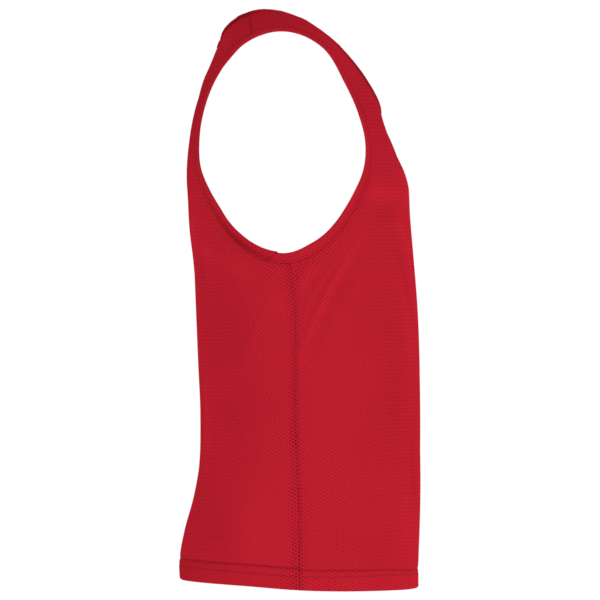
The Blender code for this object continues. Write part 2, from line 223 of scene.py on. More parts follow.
# The hem's height, by how far round from the middle of the front (0) to the side seam (1)
# and on to the middle of the back (2).
HEM = Table(
    "around height",
    *zip(
        (0.0, 0.5, 1.0, 1.25, 1.5, 1.75, 2.0),
        (-0.6612, -0.6637, -0.6630, -0.6580, -0.6548, -0.6530, -0.6515),
    ),
)

# How high above the hem's edge its two stitch rows run, by how far round they are.
HEM_ROWS = {
    FRONT: Table(
        "around upper lower",
        (0.0, 0.0212, 0.0163),
        (0.3, 0.0224, 0.0172),
        (0.6, 0.0243, 0.0180),
        (1.0, 0.0238, 0.0161),
    ),
    BACK: Table(
        "around upper lower",
        (1.0, 0.0257, 0.0161),
        (1.4, 0.0252, 0.0165),
        (1.75, 0.0250, 0.0169),
        (2.0, 0.0236, 0.0165),
    ),
}
ROW_NAMES = ("upper", "lower")


def neck_point(around):
    """The finished neck edge on the wearer's left, at an angle in degrees."""
    x = np.abs(NECK_HALF_WIDTH * np.sin(np.radians(around)))
    return x, NECK_EDGE.read("y", around), NECK_EDGE.read("z", around)


def to_fan(y, z):
    """Angle and reach from the pivot of a place in the side view."""
    return np.arctan2(z - PIVOT_Z, PIVOT_Y - y), np.hypot(y - PIVOT_Y, z - PIVOT_Z)


def crown_line():
    """The middle line over the yoke, as angles, reaches, the squareness of the sections that
    leave it and its length so far. Each section passes through the armhole's edge and through
    a known place: the middle itself, or across the neck opening the neck edge."""
    chest = np.linspace(0, CHEST.key[-1], CROWN_SAMPLES)
    blades = np.linspace(SHOULDER_BLADES.key[-1], 0, CROWN_SAMPLES)
    x, y, z = neck_point(np.linspace(0, 180, 4 * CROWN_SAMPLES)[1:-1])
    across, known = to_fan(y, z)
    angles = np.concatenate([np.radians(chest), across, np.pi - np.radians(blades)])
    front_reaches, back_reaches = CHEST.read("reach", chest), SHOULDER_BLADES.read("reach", blades)
    known = np.concatenate([front_reaches, known, back_reaches])
    x = np.concatenate([0 * chest, x, 0 * blades]) / YOKE_HALF_WIDTH
    edge_x = ARMHOLE_ACROSS.read("x", np.degrees(angles)) / YOKE_HALF_WIDTH
    edge = ARMHOLE_EDGE.read("reach", np.degrees(angles))
    low, high = (np.full(len(angles), limit) for limit in SQUARE_LIMITS)
    for _ in range(HALVINGS):
        square = (low + high) / 2
        over = edge_x**square + (edge / known) ** square * (1 - x**square) > 1
        low, high = np.where(over, square, low), np.where(over, high, square)
    reaches = known / rounded(x, square)
    return angles, reaches, square, running(np.diff(angles) * (reaches[1:] + reaches[:-1]) / 2)


CROWN = dict(zip(("angle", "reach", "square", "length"), crown_line()))


def crown(name, angle):
    """A value of the crown line at a fan angle."""
    return np.interp(angle, CROWN["angle"], CROWN[name])


class Section:
    """Half a section of the bib, from its middle (along 0) out to the side. A row up to the
    pivot is a height. Above it, it is the height that the fan's angle times FAN_RADIUS adds."""

    def __init__(self, side, row):
        if row <= PIVOT_Z:
            name = "front" if side == FRONT else "back"
            self.centre = np.array([float(BODY.read("side", row)), row])
            self.reach = abs(float(BODY.read(name, row)) - self.centre[0])
            self.direction = np.array([side, 0.0])
            self.width = float(BODY.read("half_width", row))
            self.square = float(BODY.read(f"{name}_square", row))
            self.rise = 0.0
        else:
            turn = (row - PIVOT_Z) / FAN_RADIUS
            angle = turn if side == FRONT else math.pi - turn
            self.centre = np.array([PIVOT_Y, PIVOT_Z])
            self.reach = float(crown("reach", angle))
            self.direction = np.array([-math.cos(angle), math.sin(angle)])
            self.width = YOKE_HALF_WIDTH
            self.square = float(crown("square", angle))
            risen = float(crown("length", angle))
            self.rise = risen if side == FRONT else CROWN["length"][-1] - risen
        bend = np.linspace(0, math.pi / 2, SECTION_SAMPLES)
        power = 2 / self.square
        self.xs = self.width * np.sin(bend) ** power
        self.reaches = self.reach * np.abs(np.cos(bend)) ** power
        self.xs[-1], self.reaches[-1] = self.width, 0.0
        self.lengths = running(np.hypot(np.diff(self.xs), np.diff(self.reaches)))

    @property
    def length(self):
        return self.lengths[-1]

    def at(self, along):
        out = np.interp(along, self.lengths, self.reaches)
        x = np.interp(along, self.lengths, self.xs)
        y, z = self.centre[:, None] + out * self.direction[:, None]
        return stacked(x, y, z)

    def grain(self, along):
        """Height of each place along the cloth's own grain."""
        if self.rise == 0.0:
            return np.full(len(along), self.centre[1])
        return PIVOT_Z + self.rise * np.interp(along, self.lengths, self.reaches) / self.reach


@lru_cache(maxsize=None)
def section(side, row):
    return Section(side, row)


def surface(side, rows, alongs):
    """Points, outward normals and grain heights of places on the wearer's left half, and how
    fast the surface goes by for each step of a row."""
    points, normals = np.empty((len(rows), 3)), np.empty((len(rows), 3))
    grain, pace = np.empty(len(rows)), np.empty(len(rows))
    order = np.argsort(rows, kind="stable")
    for here in np.split(order, np.flatnonzero(np.diff(rows[order])) + 1):
        row, along = float(rows[here[0]]), alongs[here]
        middle = section(side, row)
        points[here] = middle.at(along)
        grain[here] = middle.grain(along)
        across = middle.at(along + NUDGE) - middle.at(along - NUDGE)
        across[along <= NUDGE] = (1.0, 0.0, 0.0)
        across[along >= middle.length - NUDGE] = (0.0, -side, 0.0)
        up = Section(side, row + NUDGE).at(along) - Section(side, row - NUDGE).at(along)
        pace[here] = np.linalg.norm(up, axis=1) / (2 * NUDGE)
        out = np.cross(across, up) * -side
        out[along <= NUDGE, 0] = 0.0
        normals[here] = out / np.linalg.norm(out, axis=1, keepdims=True)
    return points, normals, grain, pace


def side_place(y, z):
    """Points on the wearer's left half of places in the side view."""
    angle, reach = to_fan(y, z)
    share = np.clip(reach / crown("reach", angle), 0, 1)
    yoke = YOKE_HALF_WIDTH * rounded(share, crown("square", angle))
    seam, width = BODY.read("side", z), BODY.read("half_width", z)
    ahead = y < seam
    middle = np.where(ahead, BODY.read("front", z), BODY.read("back", z))
    square = np.where(ahead, BODY.read("front_square", z), BODY.read("back_square", z))
    share = np.clip(np.abs((y - seam) / (middle - seam)), 0, 1)
    return stacked(np.where(z > PIVOT_Z, yoke, width * rounded(share, square)), y, z)


def crown_place(angle, x):
    """Points of the yoke from a fan angle and a distance from the middle."""
    share = rounded(np.clip(x / YOKE_HALF_WIDTH, 0, 1), crown("square", angle))
    reach = crown("reach", angle) * share
    return stacked(x, PIVOT_Y - reach * np.cos(angle), PIVOT_Z + reach * np.sin(angle))


def walk(insets):
    """How far it is to each inset from the one before, and in how many steps."""
    for before, inset in zip((0.0, *insets), insets):
        yield inset - before, math.ceil((inset - before) / WALK_STEP)


def armhole_lines(insets):
    """The armhole's edge walked into the cloth, as places in the side view for each inset. It
    starts at the shoulder seam and goes down the back, under the arm and up the front."""
    start = math.degrees(SHOULDER_SEAM_ANGLE)
    angles = np.linspace(start, start + 360, EDGE_SAMPLES + 1)[:-1]
    reach = ARMHOLE_EDGE.read("reach", (angles + 90) % 360 - 90)
    ys = PIVOT_Y - reach * np.cos(np.radians(angles))
    zs = PIVOT_Z + reach * np.sin(np.radians(angles))
    at = stacked(ys, zs)
    run = np.roll(at, -1, axis=0) - np.roll(at, 1, axis=0)
    out = unit(stacked(-run[:, 1], run[:, 0]))
    inward = (out * (at - (PIVOT_Y, PIVOT_Z))).sum(axis=1) < 0
    out[inward] *= -1
    lines = []
    for gap, steps in walk(insets):
        for _ in range(steps):
            here, there = side_place(*at.T), side_place(*(at + out * NUDGE).T)
            pace = np.linalg.norm(there - here, axis=1, keepdims=True) / NUDGE
            at = at + out * gap / steps / pace
        lines.append(at)
    return lines


def armhole_normals(at):
    """Outward normals at side-view places on the wearer's left."""
    ahead = side_place(*(at + (NUDGE, 0)).T) - side_place(*(at - (NUDGE, 0)).T)
    up = side_place(*(at + (0, NUDGE)).T) - side_place(*(at - (0, NUDGE)).T)
    return unit(np.cross(ahead, up))


def neck_lines(insets):
    """The neck edge walked into the cloth, as fan angles and distances from the middle for
    each inset. It starts at the middle of the front."""
    around = 90 - 90 * np.cos(np.linspace(0, math.pi, EDGE_SAMPLES // 3))
    x, y, z = neck_point(around)
    angle, _ = to_fan(y, z)
    run = unit(np.gradient(stacked(x, y, z), axis=0))
    run[[0, -1]] = (1.0, 0.0, 0.0)
    run[-1] *= -1
    out = -unit(np.cross(crown_normals(angle, x), run))
    lines = []
    for gap, steps in walk(insets):
        for _ in range(steps):
            slopes = np.stack(crown_slopes(angle, x), axis=2)
            square = np.einsum("nij,nik->njk", slopes, slopes)
            aim = np.einsum("nij,ni->nj", slopes, out * gap / steps)
            move = np.linalg.solve(square, aim[..., None])[..., 0]
            out = unit(np.einsum("nij,nj->ni", slopes, move))
            angle, x = angle + move[:, 0], np.maximum(x + move[:, 1], 0.0)
            x[[0, -1]] = 0.0
        lines.append(stacked(angle, x))
    return lines


def crown_slopes(angle, x):
    by_angle = (crown_place(angle + NUDGE, x) - crown_place(angle - NUDGE, x)) / (2 * NUDGE)
    by_x = (crown_place(angle, x + NUDGE) - crown_place(angle, np.maximum(x - NUDGE, 0))) / NUDGE
    by_x[x > NUDGE] /= 2
    by_x[x <= NUDGE] = (1.0, 0.0, 0.0)
    return by_angle, by_x


def crown_normals(angle, x):
    by_angle, by_x = crown_slopes(angle, x)
    return unit(np.cross(by_x, by_angle))


# ---------------------------------------------------------------- cutting the cloth

STEP = 0.0032  # between neighbouring points of the cloth
STEP_CLEARANCE = STEP * 0.55  # how near they come to the rows of extra points
WRAP = 24  # how many points of the armhole's line are taken twice, so that no run is broken
PANEL_CUT = 0.0109  # the panels end just under the bindings' inner borders
PANEL_EDGES = ("hem", "side", "arm", "shoulder", "neck")
HEM_SAMPLES = 90
EDGE_LINES = (0.0006, 0.0013, 0.0023, 0.0036)  # rows of extra points beside each edge
EDGE_CLEARANCE = 0.0004
ROW_LINES = (-0.0018, -0.0009, 0.0, 0.0009, 0.0018)  # and across each stitch row
ROW_CLEARANCE = 0.0005
WELD = NUDGE / 1000  # points nearer than this are one point
CHUNK = 1500  # how many points are worked on at once
FAR = 1.0


def line_lengths(line):
    return running(np.linalg.norm(np.diff(line, axis=0), axis=1))


def spaced(line, step, measured=None):
    """A line's own ends, and between them places about a step apart over the cloth."""
    lengths = line_lengths(line if measured is None else measured)
    at = np.linspace(0, lengths[-1], max(1, round(lengths[-1] / step)) + 1)
    return stacked(*(np.interp(at, lengths, column) for column in line.T))


def chunks(count):
    """Slices that take a count of points some at a time."""
    return [slice(first, first + CHUNK) for first in range(0, count, CHUNK)]


def nearest(points, line):
    """Distance of each point from a line, and how far along the line that is."""
    starts, run = line[:-1], np.diff(line, axis=0)
    square = np.maximum((run * run).sum(axis=1), TINY**2)
    passed = line_lengths(line)[:-1]
    far, along = np.empty(len(points)), np.empty(len(points))
    for some in chunks(len(points)):
        offset = points[some, None] - starts[None]
        share = np.clip((offset * run).sum(axis=2) / square, 0, 1)
        gap = np.linalg.norm(offset - share[..., None] * run, axis=2)
        pick = np.arange(len(gap)), gap.argmin(axis=1)
        far[some] = gap[pick]
        along[some] = (passed + share * np.sqrt(square))[pick]
    return far, along


def fan_row(side, angle):
    """The row that a fan angle has on a panel."""
    return PIVOT_Z + (angle if side == FRONT else math.pi - angle) * FAN_RADIUS


def armhole_cut(side):
    """Where a panel is cut for the armhole, from the side seam to the shoulder, as flat places."""
    at = armhole_lines([PANEL_CUT])[-1]
    at = np.vstack([at[-WRAP:], at, at[:WRAP]])
    angle = np.unwrap(to_fan(*at.T)[0])
    behind = at[:, 0] - BODY.read("side", at[:, 1])
    crossing = np.flatnonzero((behind[:-1] >= 0) & (behind[1:] < 0) & (at[1:, 1] < PIVOT_Z))[0]
    share = behind[crossing] / (behind[crossing] - behind[crossing + 1])
    corner = at[crossing] + (at[crossing + 1] - at[crossing]) * share
    number = np.arange(len(at))
    if side == BACK:
        shoulder = SHOULDER_SEAM_ANGLE
        kept = at[(number <= crossing) & (angle > shoulder)][::-1]
    else:
        shoulder = SHOULDER_SEAM_ANGLE + 2 * math.pi
        kept = at[(number > crossing) & (angle < shoulder)]
    top = [np.interp(shoulder, angle, column) for column in at.T]
    line = np.vstack([corner, kept, top])
    line = spaced(line, STEP, side_place(*line.T))
    places = []
    for y, z in line:
        if z <= PIVOT_Z:
            row, out = z, abs(y - float(BODY.read("side", z)))
        else:
            angle, out = to_fan(y, z)
            row = fan_row(side, angle)
        its = section(side, float(row))
        places.append((float(np.interp(out, its.reaches[::-1], its.lengths[::-1])), row))
    places[-1] = (places[-1][0], fan_row(side, SHOULDER_SEAM_ANGLE))
    return np.array(places)


def neck_cut(side):
    """Where a panel is cut for the neck, from the shoulder to the middle, as flat places."""
    angle, x = neck_lines([PANEL_CUT])[-1].T
    kept = angle < SHOULDER_SEAM_ANGLE if side == FRONT else angle > SHOULDER_SEAM_ANGLE
    corner = np.array([[SHOULDER_SEAM_ANGLE, np.interp(SHOULDER_SEAM_ANGLE, angle, x)]])
    inner = stacked(angle[kept], x[kept])
    line = np.vstack([corner, inner[::-1] if side == FRONT else inner])
    line = spaced(line, STEP, crown_place(*line.T))
    places = []
    for angle, x in line:
        row = fan_row(side, angle)
        its = section(side, float(row))
        places.append((float(np.interp(x, its.xs, its.lengths)), row))
    return np.array(places)


def around_hem(side, share):
    """How far round from the middle of the front (0) a share of the way to the side seam is."""
    return share if side == FRONT else 2 - share


def stitch_row(side, name, share):
    """A stitch row's height above the hem's edge, by the share of the way to the side."""
    return HEM_ROWS[side].read(name, around_hem(side, share))


def hem_place(side, share, height):
    """Flat places at a height above the hem's edge, by their share of the way to the side."""
    rows = HEM.read("height", around_hem(side, share)) + height
    return np.array([(s * section(side, float(row)).length, row) for s, row in zip(share, rows)])


def outline(side):
    """The half panel's outline as named runs of flat places (along, row), counterclockwise."""
    hem = hem_place(side, np.linspace(0, 1, HEM_SAMPLES), 0.0)
    arm, neck = armhole_cut(side), neck_cut(side)
    rows = np.linspace(hem[-1][1], arm[0][1], round((arm[0][1] - hem[-1][1]) / STEP) + 1)
    seam = np.array([(section(side, float(row)).length, row) for row in rows])
    arm[0] = seam[-1]
    shoulder = spaced(np.array([arm[-1], neck[0]]), STEP)
    middle = spaced(np.array([neck[-1], hem[0]]), STEP)
    return {"hem": hem, "side": seam, "arm": arm, "shoulder": shoulder, "neck": neck, "middle": middle}


def inside(points, ring):
    """Which points lie inside a closed ring."""
    (x0, y0), (x1, y1) = ring.T, np.roll(ring, -1, axis=0).T
    rise = np.where(y1 == y0, 1.0, y1 - y0)
    found = []
    for some in chunks(len(points)):
        x, y = points[some].T[..., None]
        spans = (y0 > y) != (y1 > y)
        found.append(((x < x0 + (y - y0) * (x1 - x0) / rise) & spans).sum(axis=1) % 2 == 1)
    return np.concatenate(found)


def beside(side, line, distance):
    """A run of the outline moved into the panel by a distance over the cloth."""
    pace = surface(side, line[:, 1], line[:, 0])[3]
    run = unit(np.gradient(line, axis=0) * stacked(np.ones(len(line)), pace))
    return line + stacked(-run[:, 1], run[:, 0] / pace) * distance


class Places:
    """Flat places on the wearer's left half of a panel: where they lie on the plain form, and
    how far they are from the panel's edges and stitch rows."""

    def __init__(self, side, flat, runs):
        along, rows = flat.T
        self.side = side
        self.points, self.normals, grain, _ = surface(side, rows, along)
        self.grain = stacked(along, grain)
        self.far, self.on = {}, {}
        for name in PANEL_EDGES[1:]:
            line = surface(side, runs[name][:, 1], runs[name][:, 0])[0]
            self.far[name], self.on[name] = nearest(self.points, line)
        lengths = np.array([section(side, float(row)).length for row in rows])
        share = np.clip(along / lengths, 0, 1)
        self.far["hem"] = rows - HEM.read("height", around_hem(side, share))
        self.far["hem"][rows > PIVOT_Z] = FAR
        self.on["hem"] = along
        self.rows = {name: stitch_row(side, name, share) for name in ROW_NAMES}
        self.middle = along == 0.0

    def lifted(self, height, half):
        """The places at a height off the plain form, on one half of the bib."""
        return (self.points + self.normals * height[:, None]) * (half, 1, 1)

    def hem_share(self, low, high):
        """1 in the doubled hem, easing to 0 from low to high above its upper row."""
        upper = self.rows["upper"]
        return 1 - ease(self.far["hem"], upper + low, upper + high)


def gather(side, groups, ring):
    """The groups' places inside the ring, leaving out those too near an earlier group's."""
    kept, solid = [], []
    for flat, clearance in groups:
        if clearance:
            flat = flat[inside(flat, ring)]
        points = surface(side, flat[:, 1], flat[:, 0])[0]
        if clearance:
            tree = kdtree.KDTree(sum(map(len, solid)))
            for i, point in enumerate(np.vstack(solid)):
                tree.insert(point, i)
            tree.balance()
            free = np.array([tree.find(point)[2] > clearance for point in points], bool)
            flat, points = flat[free], points[free]
        kept.append(flat)
        solid.append(points)
    return np.vstack(kept)


@lru_cache(maxsize=None)
def half_panel(side):
    """The places and triangles of the wearer's left half of a panel, and its outline."""
    runs = outline(side)
    ring = np.vstack([run[:-1] for run in runs.values()])
    groups = [(ring, 0.0)]
    for distance in EDGE_LINES:
        for name in PANEL_EDGES:
            groups.append((beside(side, runs[name], distance), EDGE_CLEARANCE))
    share = np.linspace(0, 1, HEM_SAMPLES)
    for name in ROW_NAMES:
        for offset in ROW_LINES:
            height = stitch_row(side, name, share) + offset
            groups.append((hem_place(side, share, height), ROW_CLEARANCE))
    low, high = ring.min(axis=0), ring.max(axis=0)
    lattice = np.meshgrid(np.arange(0, high[0], STEP), np.arange(low[1] + STEP / 2, high[1], STEP))
    groups.append((np.stack(lattice, axis=-1).reshape(-1, 2), STEP_CLEARANCE))
    flat = gather(side, groups, ring)
    edges = [(i, (i + 1) % len(ring)) for i in range(len(ring))]
    found = geometry.delaunay_2d_cdt([Vector(p) for p in flat], edges, [], 1, WELD)
    flat = np.array([tuple(p) for p in found[0]])
    flat[np.abs(flat) < TINY] = 0.0
    turn = 1 if side == FRONT else -1
    triangles = np.array([face[::turn] for face in found[2]])
    return Places(side, flat, runs), triangles, runs


# ---------------------------------------------------------------- how the cloth lies

CREASE_SAMPLES = 9  # points along each bowed line
CREASE_TAPER = 0.8  # the lower, the longer a crease keeps its height towards its ends


class Creases:
    """Soft ridges (height above 0) and troughs (below 0), drawn as bowed lines on the bib as
    it is seen from one side. A row gives across and up at one end, across and up at the other,
    the bow, the width and the height. The bow is in hundredths of the length, and the rest
    in millimetres."""

    units = np.array([MILLIMETRE] * 4 + [PERCENT, MILLIMETRE, MILLIMETRE])

    def __init__(self, *rows):
        self.rows = np.array(rows) * self.units

    def relief(self, across, up):
        total = np.zeros(len(across))
        for across_1, up_1, across_2, up_2, bow, width, height in self.rows:
            start, end = np.array([across_1, up_1]), np.array([across_2, up_2])
            t = np.linspace(0, 1, CREASE_SAMPLES)[:, None]
            run = end - start
            bulge = np.array([-run[1], run[0]]) * bow
            line = start + run * t + bulge * 4 * t * (1 - t)
            low, high = line.min(axis=0) - 3 * width, line.max(axis=0) + 3 * width
            near = (across > low[0]) & (across < high[0]) & (up > low[1]) & (up < high[1])
            if not near.any():
                continue
            far, on = nearest(stacked(across[near], up[near]), line)
            share = np.clip(on / line_lengths(line)[-1], 0.02, 0.98)
            total[near] += height * np.sin(np.pi * share) ** CREASE_TAPER * bell(far, width)
        return total


RIGHT_SIDE = Creases(
    (-113, -242, -31, -402, 4, 4.5, 1.8),
    (-115, -262, -44, -408, 4, 6.5, -1),
    (-99, -253, -32, -380, 4, 5, -1.2),
    (-87, -264, -38, -352, 3, 4.4, 1.1),
    (-76, -272, -36, -330, 3, 4.5, -0.8),
    (-56, -276, -33, -316, 2, 4.5, 1),
    (-42, -280, -24, -306, 2, 4, -1),
    (-110, -199, -164, -193, 5, 8, 0.9),
    (-118, -220, -156, -214, 4, 10, -0.6),
    (69, -340, 74, -425, -5, 14, -0.7),
    (38, -330, 40, -410, 6, 13, -0.6),
    (0, -325, 28, -395, 4, 8, 0.6),
    (10, -335, 38, -400, 4, 7, -0.5),
    (64, -270, 20, -305, -6, 12, 1.1),
    (88, -255, 66, -280, -4, 9, 1.2),
    (68, -495, 93, -590, 5, 10, -0.9),
    (68, -570, 45, -615, 5, 12, -0.6),
    (-50, -470, -125, -560, 10, 14, 0.5),
    (-70, -590, -150, -615, 5, 12, -0.5),
    (-142, -290, -143, -520, 1, 5, -0.3),
)
LEFT_SIDE = Creases(
    (-101, -254, -45, -378, -6, 6.2, 2.2),
    (-90, -262, -48, -342, -5, 5.5, -1.6),
    (-78, -270, -42, -322, -3, 5.2, 1.4),
    (-60, -278, -32, -306, -2, 4.8, -0.9),
    (-120, -202, -160, -190, 5, 8.5, 1.6),
    (60, -330, 70, -405, 6, 12, -1.6),
    (28, -360, 40, -440, -5, 11, 1.4),
    (56, -266, 24, -324, 5, 12, 1.5),
    (80, -530, 42, -600, -4, 13, -1.4),
    (-55, -490, -130, -550, -8, 14, 1.4),
    (-80, -570, -146, -620, 5, 12, -1.1),
)
FRONT_SIDE = Creases(
    (-125, -215, -52, -305, 8, 10, 1.2),
    (-133, -242, -70, -356, 6, 9.5, -1.1),
    (-128, -285, -88, -395, 4, 11, 0.9),
    (120, -220, 60, -296, -8, 10.5, 2),
    (134, -250, 82, -350, -6, 9.5, -1.8),
    (140, -300, 108, -410, -3, 10, 1.6),
    (-70, -125, -25, -158, 10, 7.5, 1.4),
    (66, -130, 20, -156, -10, 7.5, 1.2),
    (-90, -196, 80, -200, 3, 26, 1.3),
    (-10, -220, -20, -420, 4, 30, 0.8),
    (-20, -500, -30, -660, 4, 16, 1.8),
    (18, -390, 24, -530, -3, 15, -1.9),
    (62, -430, 66, -600, 3, 15, 1.9),
    (-76, -440, -70, -580, -4, 15, -1.4),
    (-118, -500, -108, -620, 3, 15, 0.6),
)
BACK_SIDE = Creases(
    (-118, -210, -64, -300, 7, 11, 1.3),
    (-130, -250, -90, -350, 5, 10.5, -1.1),
    (124, -205, 70, -290, -7, 11, 2),
    (132, -246, 96, -340, -5, 10.5, -1.6),
    (-90, -242, 80, -248, -3, 34, 1.2),
    (-50, -60, -10, -82, 8, 8, 1.2),
    (46, -64, 8, -86, -8, 8, 1.2),
    (-40, -380, -46, -520, 5, 15, -2.4),
    (2, -290, -6, -530, -4, 16, 1.4),
    (44, -390, 50, -520, -5, 15, -2.3),
    (90, -420, 96, -560, 4, 14, 1.9),
    (-88, -410, -98, -550, -4, 14, 1.2),
    (40, -560, 115, -582, 5, 13, -1.4),
)


def wobble(along, length, shift=0.0):
    """An uneven wave between -1 and 1, about a length from crest to crest."""
    turn = 2 * np.pi * along / length
    slow = np.sin(turn / 3.7 + 1.9 * shift) + 0.6 * np.sin(turn / 6.1 + 0.7 + shift)
    return np.sin(turn + 1.1 * slow + shift) * (0.65 + 0.35 * np.sin(turn / 4.9 + 2.3 * shift))


def bell(distance, width):
    return np.exp(-((distance / width) ** 2))


def ease(value, low, high):
    """0 below low, 1 above high and smooth between."""
    t = np.clip((value - low) / (high - low), 0, 1)
    return t * t * (3 - 2 * t)


SIDE_FADE = (0.06, 0.12)  # how far from the middle the creases at the sides begin and are full
FACE_FADE = (0.45, 0.90)  # how far cloth faces ahead or behind where the others do
SEWN_FADE = (0.0, 0.010)  # how far from a binding the creases begin and are full
HEM_FADE = (0.004, 0.034)  # and how far above the hem's edge

# How deep sewing draws the cloth in at each seam, binding and row of the hem, how wide that
# is, and how high the puckers beside it stand.
SEAM_DRAWS = {"side": 0.0008, "shoulder": 0.0006}
SEAM_WIDTH = 0.0014
SEAM_PUCKER = 0.00035
BINDING_DRAWS = {"arm": 0.0008, "neck": 0.0005}
BINDING_DRAW_WIDTH = 0.0012
BINDING_PUCKER = 0.00018
ROW_DRAWS = {"upper": 0.0006, "lower": 0.0004}
ROW_WIDTH = 0.0009
HEM_PUCKER = 0.00035
HEM_RISE = 0.0003  # how far the doubled hem stands out
HEM_ROUNDING = 0.0009  # how far its edge turns in
SEAM_END_RISE = 0.0007  # how far the side seam's thick end stands out at the hem


def crease(places, half):
    """How far soft ridges and troughs lift the cloth, away from its edges."""
    x, y, z = places.points.T
    sides, faces = {LEFT: LEFT_SIDE, RIGHT: RIGHT_SIDE}, {FRONT: FRONT_SIDE, BACK: BACK_SIDE}
    lie = sides[half].relief(y, z) * ease(x, *SIDE_FADE)
    lie += faces[places.side].relief(x * half, z) * ease(np.abs(places.normals[:, 1]), *FACE_FADE)
    lie *= ease(np.minimum(places.far["arm"], places.far["neck"]), *SEWN_FADE)
    return lie * ease(places.far["hem"], *HEM_FADE)


def relief(places, half):
    """How far the outside of the cloth lies off its plain form, out along its normal."""
    far, on, shift = places.far, places.on, 1.3 * half + 0.8 * places.side
    lie = crease(places, half)
    from_middle = ease(places.points[:, 0], 0.0, 0.02)
    from_bindings = ease(np.minimum(far["arm"], far["neck"]), 0.002, 0.018)
    for name, depth in SEAM_DRAWS.items():
        draw = 1 + 0.5 * wobble(on[name], 0.019, shift)
        drawn_in = depth * draw * bell(far[name], SEAM_WIDTH) + 0.0004 * bell(far[name], 0.0065)
        pucker = SEAM_PUCKER * wobble(on[name], 0.014, shift + 1) * np.exp(-far[name] / 0.007)
        lie += (pucker - drawn_in) * (from_bindings if name == "shoulder" else 1)
    for name, depth in BINDING_DRAWS.items():
        lie -= depth * bell(far[name], BINDING_DRAW_WIDTH)
        pucker = BINDING_PUCKER * wobble(on[name], 0.013, shift + 2) * np.exp(-far[name] / 0.006)
        lie += pucker * from_middle
    height, rows = far["hem"], places.rows
    lie += HEM_RISE * places.hem_share(-0.001, 0.001)
    lie -= HEM_ROUNDING * bell(height, 0.0007)
    for name, depth in ROW_DRAWS.items():
        draw = 1 + 0.35 * wobble(on["hem"], 0.011, shift) * from_middle
        lie -= depth * draw * bell(height - rows[name], ROW_WIDTH)
    lie -= 0.0005 * bell(height - rows["upper"], 0.0045)
    pucker = HEM_PUCKER * wobble(on["hem"], 0.023, shift) * from_middle
    lie += pucker * bell(height - rows["lower"], 0.010)
    return lie + SEAM_END_RISE * bell(far["side"], 0.0016) * bell(height - 0.0010, 0.0016)


# Where the holes show more or less painted shade from what lies behind them: across, up and half
# sizes in the side view, in millimetres, and how much. Below 0 they show painted light instead.
PATCHES = (
    (-134, -226, 17, 11, 0.50),
    (-126, -193, 11, 15, -1.00),
    (-8, -328, 12, 11, -0.65),
    (16, -582, 22, 48, -0.80),
    (90, -600, 26, 34, 0.24),
    (70, -320, 30, 50, 0.10),
    (-80, -560, 40, 40, 0.12),
    (-152, -420, 24, 140, 0.50),
    (-146, -220, 30, 50, 0.20),
    (76, -100, 20, 60, 0.22),
    (-50, -26, 60, 30, 0.08),
    (-117, -120, 22, 50, 0.22),
)
# The holes' painted shade is stronger over the seam allowance, under the arm and beside the neck.
SEAM_DOTS = 0.69  # how much darker holes show along the side seam's allowance
UNDER_ARM_DOTS = 0.72  # the share of that under the arm
NECK_DOTS = 0.30  # and how much darker they show beside the neck's binding


def shown_dots(places, half):
    """How much painted shade the holes show, for the dim inside seen through them: the most where
    cloth lies double behind them.
    """
    far = places.far
    x, y, z = places.points.T
    if places.side == BACK:
        dots = 0.36 + 0.20 * ease(z, -0.54, -0.44)
        allowance = 0.0044 + 0.0042 * ease(-z, 0.47, 0.57)
        hem_dots, arm_width = 0.14, 0.0050
    else:
        dots = np.full(len(z), 0.35)
        allowance = 0.0028 + 0.0050 * (1 - ease(-z, 0.29, 0.35))
        hem_dots, arm_width = 0.10, 0.0095
    dots *= 1 + 0.22 * wobble(z, 0.19, half * ease(x, 0.02, 0.15))
    for *patch, more in PATCHES:
        across, up, wide, high = (MILLIMETRE * size for size in patch)
        dots += more * bell(y - across, wide) * bell(z - up, high) * ease(x, *SIDE_FADE)
    strip = 1 - ease(far["side"] - allowance, 0.0, 0.003)
    strip *= 0.66 + 0.14 * ease(-z, 0.34, 0.42) + 0.22 * wobble(z, 0.085, half)
    under_arm = bell(far["arm"] - 0.003, arm_width) * ease(-z, 0.17, 0.22)
    by_seams = SEAM_DOTS * np.maximum(strip, UNDER_ARM_DOTS * under_arm)
    by_neck = NECK_DOTS * bell(far["neck"] - 0.005, 0.0040)
    return dots + hem_dots * places.hem_share(-0.001, 0.001) + by_seams + by_neck


def painted_rib_light(places):
    """How much painted light picks out the courses of the knit as a fine rib pattern: where the cloth
    is drawn flat over the chest, the shoulders and the back."""
    flat = ease(np.abs(places.normals[:, 1]), 0.45, 0.85)
    over_yoke = 0.7 * ease(places.points[:, 2], -0.20, -0.14)
    return np.maximum(flat, over_yoke) * ease(places.far["hem"], 0.02, 0.04)


def neck_shade(y):
    """How dark the neck's edge shows: at the back of the shoulders and down the front."""
    return 0.92 * bell(y - 0.041, 0.026) + 0.75 * bell(y + 0.112, 0.028)


def sides_of_neck(x, y):
    """1 along the sides of the neck, easing off to the lit middle of the front."""
    return 0.35 + 0.65 * np.maximum(ease(np.abs(x), 0.015, 0.055), ease(y, -0.06, 0.0))


def yoke_shade(y, z):
    """How dark the yoke is: it leans back less light than the body below it."""
    ahead = 0.23 * bell(z + 0.095, 0.065) * (1 - ease(y, -0.02, 0.02))
    return ahead + 0.31 * bell(z + 0.115, 0.090) * ease(y, -0.02, 0.02)


